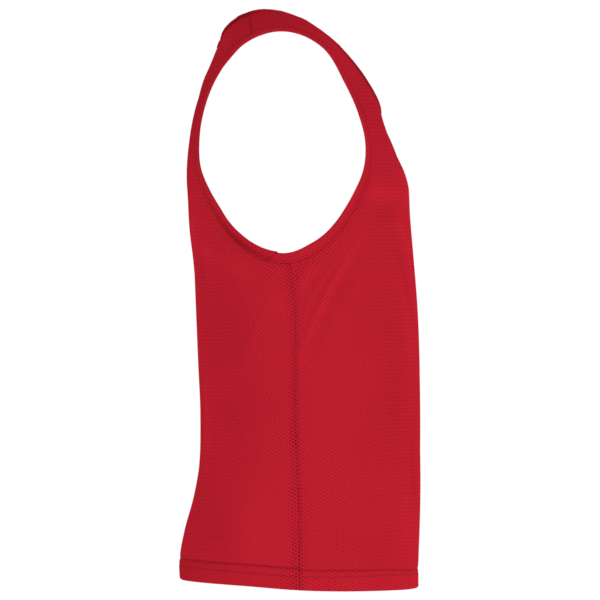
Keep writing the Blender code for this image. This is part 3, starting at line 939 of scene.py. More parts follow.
def painted_shading(places, half):
    """Painted shade on the cloth, from 0 to 1: where stitches draw it in, and where the cloth is in
    shade.
    """
    far, rows = places.far, places.rows
    x, y, z = places.points.T
    uneven = 0.8 + 0.4 * wobble(places.on["side"], 0.031, 1.7 * half)
    behind = 0.24 if places.side == BACK else 0.0
    dark = np.zeros(len(z))
    for gap, width, depth in (
        (far["hem"] - rows["upper"], 0.0013, 0.38 + behind),
        (far["hem"] - rows["lower"], 0.0010, 0.18 + behind / 2),
        (far["side"], 0.0013, (0.08 + 0.24 * ease(-z, 0.52, 0.62)) * uneven),
        (far["shoulder"], 0.0012, 0.50),
        (far["arm"], 0.0014, 0.10 + 0.20 * ease(-z, 0.17, 0.21)),
        (far["neck"], 0.0014, 0.25),
    ):
        dark = np.maximum(dark, depth * bell(gap, width))
    by_neck = 1 - ease(far["neck"] - 0.0013 * (y > 0), 0.0042, 0.0085)
    dark = np.maximum(dark, neck_shade(y) * sides_of_neck(x, y) * by_neck)
    shade = yoke_shade(y, z)
    shade += (0.07 + 0.03 * ease(-z, 0.34, 0.42)) * bell(far["side"] - 0.003, 0.006)
    shade += 0.30 * bell(y - 0.106, 0.024) * (1 - ease(far["hem"], 0.016, 0.036))
    return dark + shade * (1 - dark)


# ---------------------------------------------------------------- meshes

SHARP_ANGLE = math.radians(65)  # edges sharper than this aren't smoothed


def put(name, data):
    """A new object in the scene."""
    made = bpy.data.objects.new(name, data)
    bpy.context.scene.collection.objects.link(made)
    return made


def mesh_piece(name, points, faces, uvs, values=None, material=None):
    """A smooth-shaded piece that rides with the bib. uvs lie on the points, in metres."""
    mesh = bpy.data.meshes.new(name)
    mesh.from_pydata(points.tolist(), [], faces.tolist())
    layer = mesh.uv_layers.new(name="grain")
    corners = np.empty(len(mesh.loops), np.int32)
    mesh.loops.foreach_get("vertex_index", corners)
    layer.data.foreach_set("uv", uvs[corners].astype(np.float32).ravel())
    for key, value in (values or {}).items():
        mesh.attributes.new(key, "FLOAT", "POINT").data.foreach_set("value", value.astype(np.float32))
    mesh.shade_smooth()
    mesh.set_sharp_from_angle(angle=SHARP_ANGLE)
    if material:
        mesh.materials.append(material)
    piece = put(name, mesh)
    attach(piece, "root")
    return piece


def closed_shell(outer, inner, triangles):
    """Points and triangles of a thin closed wall, with a rim along every open edge."""
    count = len(outer)
    edges = np.concatenate([triangles[:, [0, 1]], triangles[:, [1, 2]], triangles[:, [2, 0]]])
    twins = np.isin(edges[:, 0] * count + edges[:, 1], edges[:, 1] * count + edges[:, 0])
    start, end = edges[~twins].T
    rim = stacked(end, start, start + count), stacked(end, start + count, end + count)
    return np.vstack([outer, inner]), np.vstack([triangles, triangles[:, ::-1] + count, *rim])


VALUES = ("dots", "painted_shade", "painted_light", "painted_rib_light")  # what the cloth's finish reads from its points
RIDGE = 0.002  # a crease this high gets the full painted highlight, and a trough this deep the full painted shade
HEM_LIGHT = {FRONT: 0.46, BACK: 0.0}  # how much of that painted light the doubled hem gets
HEM_EXTRA = 1.1  # how much thicker the hem is than one layer, as a share of it
GAUGE = {FRONT: (1.0, 1.05), BACK: (1.07, 1.08)}  # how much finer the knit is, across and down
COURSE_LEAN = -0.13  # how far the rows of holes rise for each step across, near the side seam
LEAN_ENDS = (0.07, 0.13)  # how far from the seam the rows start to level out, and are level
HEM_OPENING = 0.20  # how much the knit opens across towards the hem
KNIT_ROWS = 40
KNIT_STEPS = np.linspace(-0.05, 0.45, 500)  # how far from the side seam


def knit_grain(places, half):
    """Where each point is on the knit, across from the wearer's right side seam and up. The
    knit opens a little across towards the hem, and its rows level out towards the middle."""
    along, up = places.grain.T
    z = places.points[:, 2]
    rows = np.linspace(z.min(), PIVOT_Z, KNIT_ROWS)
    lengths = [section(places.side, row).length for row in rows]
    wide, high = GAUGE[places.side]
    wide = wide * (1 - HEM_OPENING * ease(-z, 0.40, 0.56))
    middle = np.interp(z, rows, lengths)
    from_seam = (middle - along) * wide
    leaning = 1 - ease(np.abs(KNIT_STEPS), *LEAN_ENDS)
    risen = np.cumsum(leaning) * (KNIT_STEPS[1] - KNIT_STEPS[0])
    gain = np.interp(from_seam, KNIT_STEPS, risen) - np.interp(0.0, KNIT_STEPS, risen)
    across = from_seam if half == RIGHT else 2 * middle * wide - from_seam
    return stacked(-across * places.side, up * high - COURSE_LEAN * gain * places.side)


def both_halves(places, triangles, thickness):
    """Outer and inner layers, triangles, grain and surface values of a whole panel."""
    count = len(places.points)
    other = np.where(places.middle, np.arange(count), 0)
    other[~places.middle] = count + np.arange((~places.middle).sum())
    triangles = np.vstack([triangles, other[triangles[:, ::-1]]])
    wall = thickness * (1 + HEM_EXTRA * places.hem_share(0.0008, 0.0020))
    lit = HEM_LIGHT[places.side] * places.hem_share(-0.001, 0.0)
    halves = []
    for half in (LEFT, RIGHT):
        kept = np.ones(count, bool) if half == LEFT else ~places.middle
        lie = relief(places, half)
        layers = {
            "outer": places.lifted(lie, half),
            "inner": places.lifted(lie - wall, half),
            "grain": knit_grain(places, half),
            "dots": shown_dots(places, half),
            "painted_shade": painted_shading(places, half),
            "painted_light": crease(places, half) / RIDGE + lit,
            "painted_rib_light": painted_rib_light(places),
        }
        halves.append({key: value[kept] for key, value in layers.items()})
    left, right = halves
    return {key: np.concatenate([left[key], right[key]]) for key in left}, triangles


def sheet_piece(name, side, node, thickness, material):
    """A panel's cloth, and its cut: the flat piece's width and length, and its area."""
    places, half, _ = half_panel(side)
    layers, triangles = both_halves(places, half, thickness)
    points, faces = closed_shell(layers["outer"], layers["inner"], triangles)
    twice = {key: np.tile(layers[key], 2) for key in VALUES}
    piece = mesh_piece(name, points, faces, np.tile(layers["grain"], (2, 1)), twice, material)
    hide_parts(node)
    corners = layers["outer"][triangles]
    normals = np.cross(corners[:, 1] - corners[:, 0], corners[:, 2] - corners[:, 0])
    area = float(np.linalg.norm(normals, axis=1).sum() / 2)
    across, up = np.ptp(places.grain, axis=0)
    return piece, (float(2 * across), float(up)), area


# ---------------------------------------------------------------- bindings

# Round a folded binding: how far in from the finished edge, and how high off the plain form.
BINDING_LOOP = np.array(
    [
        (0.0113, -0.0005),
        (0.0109, 0.0001),
        (0.0102, 0.0005),
        (0.0092, 0.0006),
        (0.0086, 0.0003),
        (0.0080, 0.0006),
        (0.0060, 0.0008),
        (0.0040, 0.0008),
        (0.0020, 0.0005),
        (0.0009, 0.0002),
        (0.0003, -0.0002),
        (0.0000, -0.0005),
        (0.0003, -0.0009),
        (0.0009, -0.0012),
        (0.0030, -0.0015),
        (0.0060, -0.0017),
        (0.0090, -0.0017),
        (0.0113, -0.0015),
    ]
)
UNDERSIDE = -0.0006  # the loop's points below this are on the inside of the bib
BAND_WIDTH = 0.011
ROW_INSET = 0.0086  # of the stitch row that holds a binding
NECK_LAP = 0.012  # how far to the wearer's right of the middle the neck binding's ends meet
LAP_EDGE_ANGLE = math.radians(265.3)  # where the armhole binding's end starts at the edge
LAP_ROW_ANGLE = math.radians(256.8)  # and where it ends at the panel
LAP_RISE = 0.0006  # how far the upper end of a lap stands up
LAP_RUN = 0.018  # and how far on it has settled
LAP_EDGE_RISE = 0.0014  # how far the lap stands out past the armhole's edge

# How far each armhole's edge stands out past its plain form: all round, and in bumps of a
# height, round an angle, by a width in degrees.
EDGE_RISE = {RIGHT: 0.0, LEFT: -0.0009}
EDGE_BUMPS = {
    RIGHT: ((0.0009, -69, 10), (0.0008, 90, 35), (0.0026, 112, 5), (0.0007, -90, 75)),
    LEFT: ((-0.0011, 90, 50), (-0.0006, -95, 40)),
}
BINDING_SHADE_ANGLE = 231  # where the binding's painted shade is darkest, below the shoulder blade


def ring_wobble(share, count, shift):
    """An uneven wave between -1 and 1 that closes on itself, with count crests to a ring."""
    turn = 2 * np.pi * share
    slow = np.sin(3 * turn + 1.9 * shift) + 0.6 * np.sin(5 * turn + 0.7 + shift)
    return np.sin(count * turn + 1.1 * slow + shift) * (0.65 + 0.35 * np.sin(4 * turn + shift))


class Ring:
    """A binding's places and normals by inset, station by station round an opening."""

    def __init__(self, insets):
        self.insets = insets
        self.points, self.normals, self.past = {}, {}, {}

    def measure(self):
        """Share of the way round of each station, and the length of the whole edge."""
        edge = self.points[0.0]
        steps = np.linalg.norm(np.roll(edge, -1, axis=0) - edge, axis=1)
        self.passed = np.concatenate([[0.0], np.cumsum(steps)[:-1]])
        self.length = steps.sum()
        self.share = self.passed / self.length
        return self


def turned(degrees, angle, width):
    """A smooth bump round an angle of the opening."""
    gap = (np.degrees(angle) - degrees + 180) % 360 - 180
    return bell(gap, width)


def armhole_ring(half):
    """The armhole's ring on one side, as if it were the left. Past is how far each place is
    past the lap where the binding's ends meet."""
    ring = Ring(np.unique(BINDING_LOOP[:, 0]))
    for inset, at in zip(ring.insets, armhole_lines(ring.insets)):
        ring.points[inset], ring.normals[inset] = side_place(*at.T), armhole_normals(at)
        angle, reach = to_fan(*at.T)
        lap = LAP_EDGE_ANGLE + (LAP_ROW_ANGLE - LAP_EDGE_ANGLE) * inset / BAND_WIDTH
        ring.past[inset] = ((lap - angle + math.pi) % (2 * math.pi) - math.pi) * reach
        if inset == 0.0:
            ring.angle = angle
    ring.edge = EDGE_RISE[half] + sum(
        height * turned(degrees, ring.angle, width) for height, degrees, width in EDGE_BUMPS[half]
    )
    if half == RIGHT:
        ring.edge += LAP_EDGE_RISE * lap_rise(ring.past[0.0])
    # Painted shade along the binding's inner seam and below the shoulder blade, and at its border,
    # strongest under the arm. Painted light on the rest of the band.
    low = turned(-90, ring.angle, 65)
    ring.pull = 0.75 * turned(BINDING_SHADE_ANGLE, ring.angle, 28) + 0.05
    ring.shade = 0.22 * turned(BINDING_SHADE_ANGLE, ring.angle, 30) + yoke_shade(*ring.points[0.0].T[1:])
    ring.border, ring.light = 0.08 + 0.30 * low, 0.5 * (1 - low)
    return ring.measure()


def neck_ring():
    """The ring round the neck, from the middle of the front by the wearer's left. The ends of
    its binding meet at the back, a little to the wearer's right of the middle."""
    ring = Ring(np.unique(BINDING_LOOP[:, 0]))
    flip = np.array([-1, 1, 1])
    for inset, line in zip(ring.insets, neck_lines(ring.insets)):
        left, out = crown_place(*line.T), crown_normals(*line.T)
        out[[0, -1], 0] = 0.0
        ring.points[inset] = np.vstack([left, (left * flip)[-2:0:-1]])
        ring.normals[inset] = np.vstack([unit(out), (unit(out) * flip)[-2:0:-1]])
        away = -ring.points[inset][:, 0] - NECK_LAP + inset * 0.5
        ring.past[inset] = np.where(ring.points[inset][:, 1] > 0, away, -FAR)
    y = ring.points[0.0][:, 1]
    ring.edge = 0 * y
    # Painted shade down the sides of the neck and over the yoke, with painted light where there is
    # less of it.
    shade = neck_shade(y) * sides_of_neck(ring.points[0.0][:, 0], y)
    ring.pull, ring.shade = 0.05 + 0 * y, shade + yoke_shade(*ring.points[0.0].T[1:])
    ring.border, ring.light = 0.15 + 0 * y, 0.3 * (1 - shade)
    return ring.measure()


def lap_rise(past):
    return ease(past, 0.0, 0.0009) * np.exp(-np.maximum(past, 0) / LAP_RUN)


def binding_layers(ring, shift):
    """The binding's loops of points by station, with how dark each shows and its grain."""
    puff = 0.00010 * ring_wobble(ring.share, round(ring.length / 0.013), shift)
    puff += 0.00010 * ring_wobble(ring.share, round(ring.length / 0.045), shift + 1)
    way = unit(ring.points[0.0] - ring.points[BINDING_LOOP[0, 0]])
    loops, dark, light, grain = [], [], [], []
    for inset, height in BINDING_LOOP:
        outside = height > UNDERSIDE
        crown = math.sin(math.pi * min(inset / BAND_WIDTH, 1.0))
        lifted = height + puff * crown * (1.0 if outside else 0.4)
        if outside:
            lifted = lifted + LAP_RISE * lap_rise(ring.past[inset])
        place = ring.points[inset] + ring.normals[inset] * lifted[:, None]
        place += way * (ring.edge * max(0.0, 1 - inset / BAND_WIDTH))[:, None]
        loops.append(place)
        # Painted shade on the binding: along its inner seam and stitch row, at the lap's end, along
        # its border and where less light reaches it.
        shows = ring.pull * bell(inset - 0.0080, 0.0028) + bell(inset - ROW_INSET, 0.0009) * 0.06
        shows = shows + 0.80 * bell(ring.past[inset] - 0.0001, 0.0011) + ring.shade
        shows = shows + ring.border * bell(inset - BINDING_LOOP[0, 0], 0.0007)
        dark.append(np.clip(shows, 0, 1) if outside else 0 * shows)
        light.append(ring.light * bell(inset - 0.0022, 0.0024))
        turned_under = inset if outside else -inset
        grain.append(stacked(ring.passed, np.full(len(ring.passed), turned_under)))
    values = {"painted_shade": stacked(*dark).ravel(), "painted_light": stacked(*light).ravel()}
    return stacked(*loops), values, stacked(*grain)


def tube_faces(stations, loop):
    """Quads of a closed ring of closed loops."""
    i, j = np.meshgrid(np.arange(stations), np.arange(loop), indexing="ij")
    ahead, up = (i + 1) % stations, (j + 1) % loop
    return np.stack([i * loop + j, ahead * loop + j, ahead * loop + up, i * loop + up], axis=-1)


def outward(points, faces):
    """The faces of a closed mesh, turned to look outwards."""
    a, b, c, d = (points[corner] for corner in faces.T)
    volume = np.einsum("ij,ij->", a, np.cross(b, c) + np.cross(c, d))
    return faces if volume > 0 else faces[:, ::-1]


def binding_piece(name, ring, half, node, shift, material):
    loops, values, grain = binding_layers(ring, shift)
    loops = loops * (half, 1, 1)
    faces = outward(loops.reshape(-1, 3), tube_faces(*loops.shape[:2]).reshape(-1, 4))
    values["dots"] = np.full(len(values["painted_shade"]), 0.5)
    piece = mesh_piece(name, loops.reshape(-1, 3), faces, grain.reshape(-1, 2), values, material)
    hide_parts(node)
    return piece


# ---------------------------------------------------------------- stitches

HEM_STEPS = 400  # for measuring along a row of the hem
SEAM_GAP = 0.002  # a row's last stitch ends this near the side seam
THREAD_LIFT = 0.0001  # how far thread's middle is above the cloth
STITCH_SIDES = 6
STITCH_RINGS = ((0.10, 0.70), (0.30, 1.0), (0.70, 1.0), (0.90, 0.70))  # how far along, how thick


def stitch_mesh(starts, ends, radius):
    """Points, faces and grain of a small closed bead of thread for each stitch."""
    run = ends - starts
    across = unit(np.cross(run, (0.31, 0.17, 0.93)))
    up = unit(np.cross(across, run))
    turn = 2 * np.pi * np.arange(STITCH_SIDES) / STITCH_SIDES
    rings, grain = [starts[:, None]], [np.zeros((len(starts), 1, 2))]
    for along, thick in STITCH_RINGS:
        centre = starts + run * along
        bend = np.cos(turn)[None, :, None] * across[:, None]
        bend = bend + np.sin(turn)[None, :, None] * up[:, None]
        rings.append(centre[:, None] + bend * radius * thick)
        lengths = np.linalg.norm(run, axis=1)[:, None] * along + 0 * turn
        grain.append(np.stack([lengths, 0 * lengths + turn * radius], axis=2))
    rings.append(ends[:, None])
    grain.append(np.zeros((len(starts), 1, 2)))
    points, grain = np.concatenate(rings, axis=1), np.concatenate(grain, axis=1)
    each = points.shape[1]
    faces = []
    last = each - 1 - STITCH_SIDES
    for i in range(STITCH_SIDES):
        j = (i + 1) % STITCH_SIDES
        faces.append((0, 1 + j, 1 + i))
        for ring in range(len(STITCH_RINGS) - 1):
            a, b = 1 + ring * STITCH_SIDES, 1 + (ring + 1) * STITCH_SIDES
            faces.extend([(a + i, a + j, b + j), (a + i, b + j, b + i)])
        faces.append((last + i, last + j, each - 1))
    faces = np.array(faces)[None] + (np.arange(len(starts)) * each)[:, None, None]
    return points.reshape(-1, 3), faces.reshape(-1, 3), grain.reshape(-1, 2)


def hem_stitches(side, name, pitch, length):
    """Starts and ends of one row's stitches round a panel's hem."""
    _, _, runs = half_panel(side)
    share = np.linspace(0, 1, HEM_STEPS)
    along = hem_place(side, share, stitch_row(side, name, share))[:, 0]
    at = np.arange(pitch / 2, along[-1] - SEAM_GAP, pitch)
    ends = []
    for shift in (-length / 2, length / 2):
        here = np.interp(at + shift, along, share)
        places = Places(side, hem_place(side, here, stitch_row(side, name, here)), runs)
        lies = {half: relief(places, half) + THREAD_LIFT for half in (LEFT, RIGHT)}
        ends.append(np.vstack([places.lifted(lie, half) for half, lie in lies.items()]))
    return ends


def ring_stitches(ring, half, pitch, length, shift):
    """Starts and ends of the stitches along a binding's row."""
    loops, _, _ = binding_layers(ring, shift)
    row = int(np.flatnonzero(BINDING_LOOP[:, 0] == ROW_INSET)[0])
    line = loops[:, row] + ring.normals[ROW_INSET] * THREAD_LIFT
    line = np.vstack([line, line[:1]]) * (half, 1, 1)
    lengths = line_lengths(line)
    count = round(lengths[-1] / pitch)
    starts = np.arange(count) * lengths[-1] / count
    read = [[np.interp(starts + a, lengths, c) for c in line.T] for a in (0.0, length)]
    return tuple(np.transpose(ends) for ends in read)


def thread_piece(name, stitches, radius, material):
    starts, ends = (np.vstack(parts) for parts in zip(*stitches))
    piece = mesh_piece(name, *stitch_mesh(starts, ends, radius), material=material)
    return piece


# ---------------------------------------------------------------- finishes


class Signal:
    """A socket whose arithmetic adds Math nodes beside it."""

    def __init__(self, nodes, socket):
        self.nodes = nodes
        self.socket = socket

    def maths(self, operation, *values):
        return self.nodes.node("ShaderNodeMath", {"operation": operation}, *values)

    def __add__(self, other):
        return self.maths("ADD", self, other)

    def __sub__(self, other):
        return self.maths("SUBTRACT", self, other)

    def __rsub__(self, other):
        return self.maths("SUBTRACT", other, self)

    def __mul__(self, other):
        return self.maths("MULTIPLY", self, other)

    __radd__ = __add__
    __rmul__ = __mul__

    def wave(self, length):
        """Cosine with a crest every length."""
        return self.maths("COSINE", self * (2 * math.pi / length))

    def rise(self, low, high):
        """0 below low, 1 above high and smooth between."""
        settings = {"interpolation_type": "SMOOTHSTEP"}
        return self.nodes.node("ShaderNodeMapRange", settings, self, low, high)


class Nodes:
    """The nodes of a material or of the world."""

    def __init__(self, owner):
        owner.use_nodes = True
        self.owner, self.tree = owner, owner.node_tree
        self.tree.nodes.clear()

    def node(self, kind, settings, *values, read=0, **named):
        """Adds a node with its settings, then the values or links of its sockets, and gives
        the output that is read."""
        made = self.tree.nodes.new(kind)
        for key, value in settings.items():
            setattr(made, key, value)
        for key, value in [*enumerate(values), *named.items()]:
            self.feed(made.inputs[key], value)
        return Signal(self, made.outputs[read]) if made.outputs else None

    def feed(self, socket, value):
        if isinstance(value, Signal):
            self.tree.links.new(value.socket, socket)
        else:
            socket.default_value = value


class Finish(Nodes):
    """A material: what varies over it, and at the end its surface."""

    def __init__(self, name):
        super().__init__(bpy.data.materials.new(name))

    def mix(self, factor, first, second, blend="MIX"):
        made = self.tree.nodes.new("ShaderNodeMix")
        made.data_type, made.blend_type = "RGBA", blend
        for name, value in (("Factor_Float", factor), ("A_Color", first), ("B_Color", second)):
            socket = next(s for s in made.inputs if s.identifier == name)
            self.feed(socket, value)
        return Signal(self, next(s for s in made.outputs if s.identifier == "Result_Color"))

    def shade(self, colour, share):
        """The colour times a share that changes over the surface."""
        grey = self.node("ShaderNodeCombineColor", {}, share, share, share)
        return self.mix(1.0, colour, grey, "MULTIPLY")

    def value(self, name):
        """A value kept on the mesh's points."""
        return self.node("ShaderNodeAttribute", {"attribute_name": name}, read="Fac")

    def grain(self):
        """Place over the flat cloth, in metres, as its own vector and as two numbers."""
        place = self.node("ShaderNodeUVMap", {"uv_map": "grain"})
        split = self.node("ShaderNodeSeparateXYZ", {}, place)
        return place, split, Signal(self, split.socket.node.outputs["Y"])

    def noise(self, place, scale, detail=2.0):
        return self.node("ShaderNodeTexNoise", {}, place, Scale=scale, Detail=detail)

    def bump(self, height, distance):
        return self.node("ShaderNodeBump", {}, Height=height, Distance=distance)

    def surface(self, colour, share, roughness, specular, **more):
        """The surface shader, of a colour times a share that changes over it."""
        values = {"Base Color": self.shade((*colour, 1.0), share), "Roughness": roughness}
        values["Specular IOR Level"] = specular
        return self.node("ShaderNodeBsdfPrincipled", {}, **values, **more)

    def done(self, surface):
        self.node("ShaderNodeOutputMaterial", {}, surface)
        return self.owner


DRIFT_ACROSS, DRIFT_UP = 0.0012, 0.0009  # how far the rows of holes wander
HOLE_BORDER = (0.49, 0.88)  # of the lattice's wave, from the knit to the inside of a hole
HOLE_DEPTH = 0.85  # as a share of the relief, like the three heights of the knit itself
WALE_HEIGHT, COURSE_HEIGHT, YARN_HEIGHT = 0.10, 0.07, 0.12
KNIT_RELIEF = 0.00035
PLY_RELIEF = 0.00008
PAINTED_SHADE_DARK = 0.45  # how much of its light the cloth loses under full painted shade
RIDGE_LIGHT = 0.12  # and gains under full painted light, on a painted rib and in a painted glint
RIB_LIGHT = 0.05
GLINT_LIGHT = 0.07


def knit_finish(name, colour, cloth, tone, hole_share):
    """Red sports mesh: staggered small holes in a fine knit, painted dark for the shade seen through
    them and darker where cloth lies behind, with painted shade, painted light and painted glints.
    Tone is how unevenly it is dyed, and hole_share how dark a hole is at most."""
    finish = Finish(name)
    place, across, up = finish.grain()
    drift = finish.noise(place, 45.0)
    across, up = across + drift * DRIFT_ACROSS, up + drift * DRIFT_UP
    lattice = across.wave(2 * cloth.hole_across) * up.wave(cloth.hole_down)
    hole = (lattice + finish.value("dots") * 0.10).rise(*HOLE_BORDER)
    shown = hole * finish.value("dots") * hole_share
    patch = finish.noise(place, 16.0, 3.0).rise(0.30, 0.70)
    # Glints: small specks painted lighter, standing for highlights on the yarn.
    glint = finish.noise(place, 420.0, 1.0).rise(0.35, 0.75)
    light = 1 - finish.value("painted_shade") * PAINTED_SHADE_DARK + finish.value("painted_light") * RIDGE_LIGHT
    light = light + up.wave(cloth.hole_down) * finish.value("painted_rib_light") * RIB_LIGHT
    dye_and_glints = patch * tone + glint * GLINT_LIGHT + (1 - (tone + GLINT_LIGHT) / 2)
    share = (1 - shown) * light * dye_and_glints
    roughness = 0.66 + hole * 0.12 + glint * 0.06
    wales = across.wave(cloth.hole_across / 2) * WALE_HEIGHT
    courses = (up + across * 0.35).wave(cloth.hole_down / 6) * COURSE_HEIGHT
    yarn = finish.noise(place, 2600.0, 1.0) * YARN_HEIGHT
    normal = finish.bump(wales + courses + yarn - hole * HOLE_DEPTH, KNIT_RELIEF)
    return finish.done(finish.surface(colour, share, roughness, 0.0, Normal=normal))


def thread_finish(name, colour):
    """Sewing thread: two plies twisted round each other."""
    finish = Finish(name)
    place, along, turn = finish.grain()
    # The plies' crests are painted lighter and the hollows between them painted darker, as shading.
    ply = (along + turn * 1.4).wave(0.0007)
    share = ply * 0.12 + finish.noise(place, 900.0) * 0.10 + 0.83
    normal = finish.bump(ply, PLY_RELIEF)
    return finish.done(finish.surface(colour, share, 0.62 - ply * 0.06, 0.05, Normal=normal))


def floor_finish(name, colour):
    """Pale studio floor, which lets a view from under it through."""
    finish = Finish(name)
    place = finish.node("ShaderNodeTexCoord", {}, read="Object")
    share = finish.noise(place, 3.0) * 0.02 + 0.98
    glow = {"Emission Color": (*colour, 1.0), "Emission Strength": FLOOR_GLOW}
    solid = finish.surface(colour, share, 0.85, 0.0, **glow)
    clear = finish.node("ShaderNodeBsdfTransparent", {})
    under = finish.node("ShaderNodeNewGeometry", {}, read="Backfacing")
    return finish.done(finish.node("ShaderNodeMixShader", {}, under, solid, clear))


# ---------------------------------------------------------------- what a user may change


def length_of(name, description, default):
    settings = {"name": name, "description": description, "default": default}
    return FloatProperty(**settings, min=0, subtype="DISTANCE", unit="LENGTH")


def colour_of(name, description, default):
    settings = {"name": name, "description": description, "default": default}
    return FloatVectorProperty(**settings, min=0, max=1, subtype="COLOR")


class BibCloth(bpy.types.PropertyGroup):
    thickness: length_of("Cloth thickness", "Of one layer of the mesh", 0.0007)
    hole_across: length_of("Hole spacing across", "From one column of holes to the next", 0.00305)
    hole_down: length_of("Hole spacing down", "From hole to hole down a column", 0.0047)
    red: colour_of("Cloth", "Colour of the mesh cloth", (0.540, 0.0145, 0.0290))
    binding: colour_of("Binding", "Colour of the bindings", (0.540, 0.0145, 0.0290))


class BibStitching(bpy.types.PropertyGroup):
    pitch: length_of("Stitch pitch", "From one stitch to the next", 0.0030)
    stitch: length_of("Stitch length", "Of each stitch that shows", 0.0022)
    thread: length_of("Thread thickness", "Across the thread", 0.0005)
    red: colour_of("Thread", "Colour of the thread", (0.51, 0.0137, 0.0272))


class BibStudio(bpy.types.PropertyGroup):
    drop: length_of("Floor", "How far the floor is below the hem", 0.35)
    floor: colour_of("Floor colour", "Colour of the floor", (0.86, 0.86, 0.85))
    front: FloatProperty(name="Front light", description="Strength at each side", default=0.77)
    back: FloatProperty(name="Back light", description="Strength at each side", default=0.35)
    top: FloatProperty(name="Top light", description="Strength from above", default=0.04)
    around: FloatProperty(name="Surroundings", description="Light from all round", default=0.56)


# ---------------------------------------------------------------- making


@lru_cache(maxsize=None)
def rings():
    """Each binding's name, ring, side of the body, node and the start of its unevenness."""
    return (
        ("neck_binding", neck_ring(), LEFT, "neck_band", 0.4),
        ("armhole_binding_left", armhole_ring(LEFT), LEFT, "armhole_band_left", 1.7),
        ("armhole_binding_right", armhole_ring(RIGHT), RIGHT, "armhole_band_right", 2.9),
    )


class BIB_OT_bindings(bpy.types.Operator):
    """Fold the bindings over the neck and armhole edges"""

    bl_idname = "bib.bindings"
    bl_label = "Bindings"

    def execute(self, context):
        cloth = context.scene.bib_cloth
        band = knit_finish("binding_mesh", cloth.binding, cloth, 0.06, 0.35)
        for name, ring, half, node, shift in rings():
            binding_piece(name, ring, half, node, shift, band)
        return {"FINISHED"}


class BIB_OT_stitching(bpy.types.Operator):
    """Sew the two rows round the hem and the row along each binding"""

    bl_idname = "bib.stitching"
    bl_label = "Stitching"

    def execute(self, context):
        sewing = context.scene.bib_stitching
        size = sewing.pitch, sewing.stitch
        thread = thread_finish("sewing_thread", sewing.red)
        for name in ROW_NAMES:
            rows = [hem_stitches(side, name, *size) for side in (FRONT, BACK)]
            thread_piece(f"hem_stitches_{name}", rows, sewing.thread / 2, thread)
        rows = [ring_stitches(ring, half, *size, shift) for _, ring, half, _, shift in rings()]
        thread_piece("binding_stitches", rows, sewing.thread / 2, thread)
        return {"FINISHED"}


PANELS = (("front_cloth", FRONT, "front_panel"), ("back_cloth", BACK, "back_panel"))


class BIB_OT_cloth(bpy.types.Operator):
    """Cut and sew the front and back cloth"""

    bl_idname = "bib.cloth"
    bl_label = "Cloth"

    def execute(self, context):
        cloth = context.scene.bib_cloth
        mesh = knit_finish("sports_mesh", cloth.red, cloth, 0.025, 0.62)
        bindings = [name for name, *_ in rings()]
        for name, side, node in PANELS:
            piece, flat, area = sheet_piece(name, side, node, cloth.thickness, mesh)
        return {"FINISHED"}


WHITE = (1, 1, 1, 1)
FLOOR_GLOW = 0.58
FLOOR_REACH = 7
FLOOR_CORNERS = ((-1, -1), (1, -1), (1, 1), (-1, 1))
SUN_SPREAD = math.radians(40)
LIGHT_ACROSS, LIGHT_ALONG, LIGHT_UP = 0.74, 0.67, 0.07  # towards each light at the sides
LENS = 1700
SENSOR = 36
SEEN_TO = 60  # how far away the camera still sees
VIEW_WIDTH = 0.7008
VIEW_CENTRE = Vector((-0.12, -0.0350, -0.3247))
VIEW_FALL = math.radians(0.29)  # the camera looks down by this, so both armholes line up


def sun(name, towards, strength):
    """A broad soft light from a direction."""
    lamp = bpy.data.lights.new(name, "SUN")
    lamp.angle, lamp.energy = SUN_SPREAD, strength
    light = put(name, lamp)
    light.rotation_mode = "QUATERNION"
    light.rotation_quaternion = Vector(towards).to_track_quat("Z", "Y")


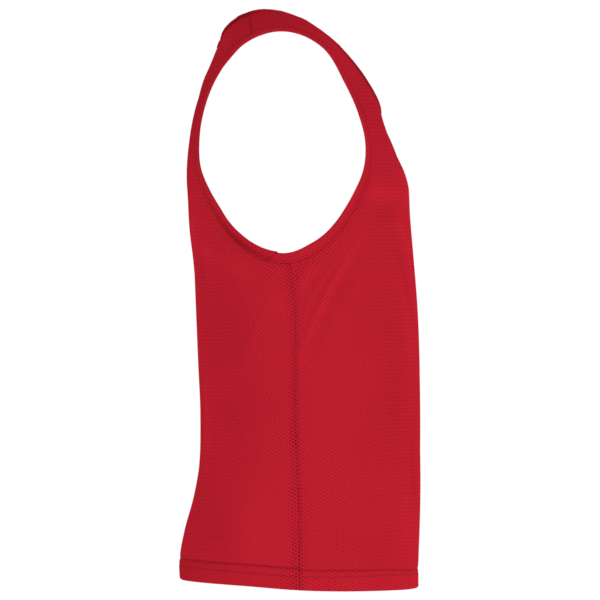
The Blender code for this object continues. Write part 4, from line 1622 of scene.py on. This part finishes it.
class BIB_OT_studio(bpy.types.Operator):
    """Set up the floor, the lights and the camera at the wearer's right"""

    bl_idname = "bib.studio"
    bl_label = "Studio"

    def execute(self, context):
        studio, scene = context.scene.bib_studio, context.scene
        low = CAD_BOX[0][2] - studio.drop
        corners = [(x * FLOOR_REACH, y * FLOOR_REACH, low) for x, y in FLOOR_CORNERS]
        mesh = bpy.data.meshes.new("floor")
        mesh.from_pydata(corners, [], [(0, 1, 2, 3)])
        mesh.materials.append(floor_finish("studio_floor", studio.floor))
        put("floor", mesh)

        for name, half in (("left", LEFT), ("right", RIGHT)):
            across = LIGHT_ACROSS * half
            sun(f"front_{name}", (across, -LIGHT_ALONG, LIGHT_UP), studio.front)
            sun(f"back_{name}", (across, LIGHT_ALONG, LIGHT_UP), studio.back)
        sun("top", (0, 0, 1), studio.top)

        scene.world = bpy.data.worlds.new("studio")
        air = Nodes(scene.world)
        seen = air.node("ShaderNodeBackground", {}, WHITE)
        cast = air.node("ShaderNodeBackground", {}, WHITE, studio.around)
        to_camera = air.node("ShaderNodeLightPath", {}, read="Is Camera Ray")
        both = air.node("ShaderNodeMixShader", {}, to_camera, cast, seen)
        air.node("ShaderNodeOutputWorld", {}, both)
        scene.view_settings.view_transform = "Standard"

        lens = bpy.data.cameras.new("camera")
        lens.lens, lens.sensor_width, lens.clip_end = LENS, SENSOR, SEEN_TO
        camera = put("camera", lens)
        back = VIEW_WIDTH * LENS / SENSOR
        aim = Vector((math.cos(VIEW_FALL), 0, -math.sin(VIEW_FALL)))
        camera.location = VIEW_CENTRE - aim * back
        camera.rotation_euler = (math.pi / 2 - VIEW_FALL, 0, -math.pi / 2)
        scene.camera = camera
        return {"FINISHED"}


class BIB_PT_sidebar(bpy.types.Panel):
    """The bib's sizes, colours and making"""

    bl_idname = "BIB_PT_sidebar"
    bl_label = "Mesh training bib"
    bl_space_type = "VIEW_3D"
    bl_region_type = "UI"
    bl_category = "Bib"

    def draw(self, context):
        for name, group in GROUPS.items():
            for prop in group.__annotations__:
                self.layout.prop(getattr(context.scene, name), prop)
        for operator in OPERATORS:
            self.layout.operator(operator.bl_idname)


GROUPS = {"bib_cloth": BibCloth, "bib_stitching": BibStitching, "bib_studio": BibStudio}
OPERATORS = (BIB_OT_bindings, BIB_OT_stitching, BIB_OT_cloth, BIB_OT_studio)
CLASSES = (*GROUPS.values(), *OPERATORS, BIB_PT_sidebar)


def register():
    for its in CLASSES:
        bpy.utils.register_class(its)
    for name, group in GROUPS.items():
        setattr(bpy.types.Scene, name, PointerProperty(type=group))


def unregister():
    for name in GROUPS:
        delattr(bpy.types.Scene, name)
    for its in reversed(CLASSES):
        bpy.utils.unregister_class(its)


def main():
    register()
    bpy.ops.bib.bindings()
    bpy.ops.bib.stitching()
    bpy.ops.bib.cloth()
    bpy.ops.bib.studio()


if __name__ == "__main__":
    main()
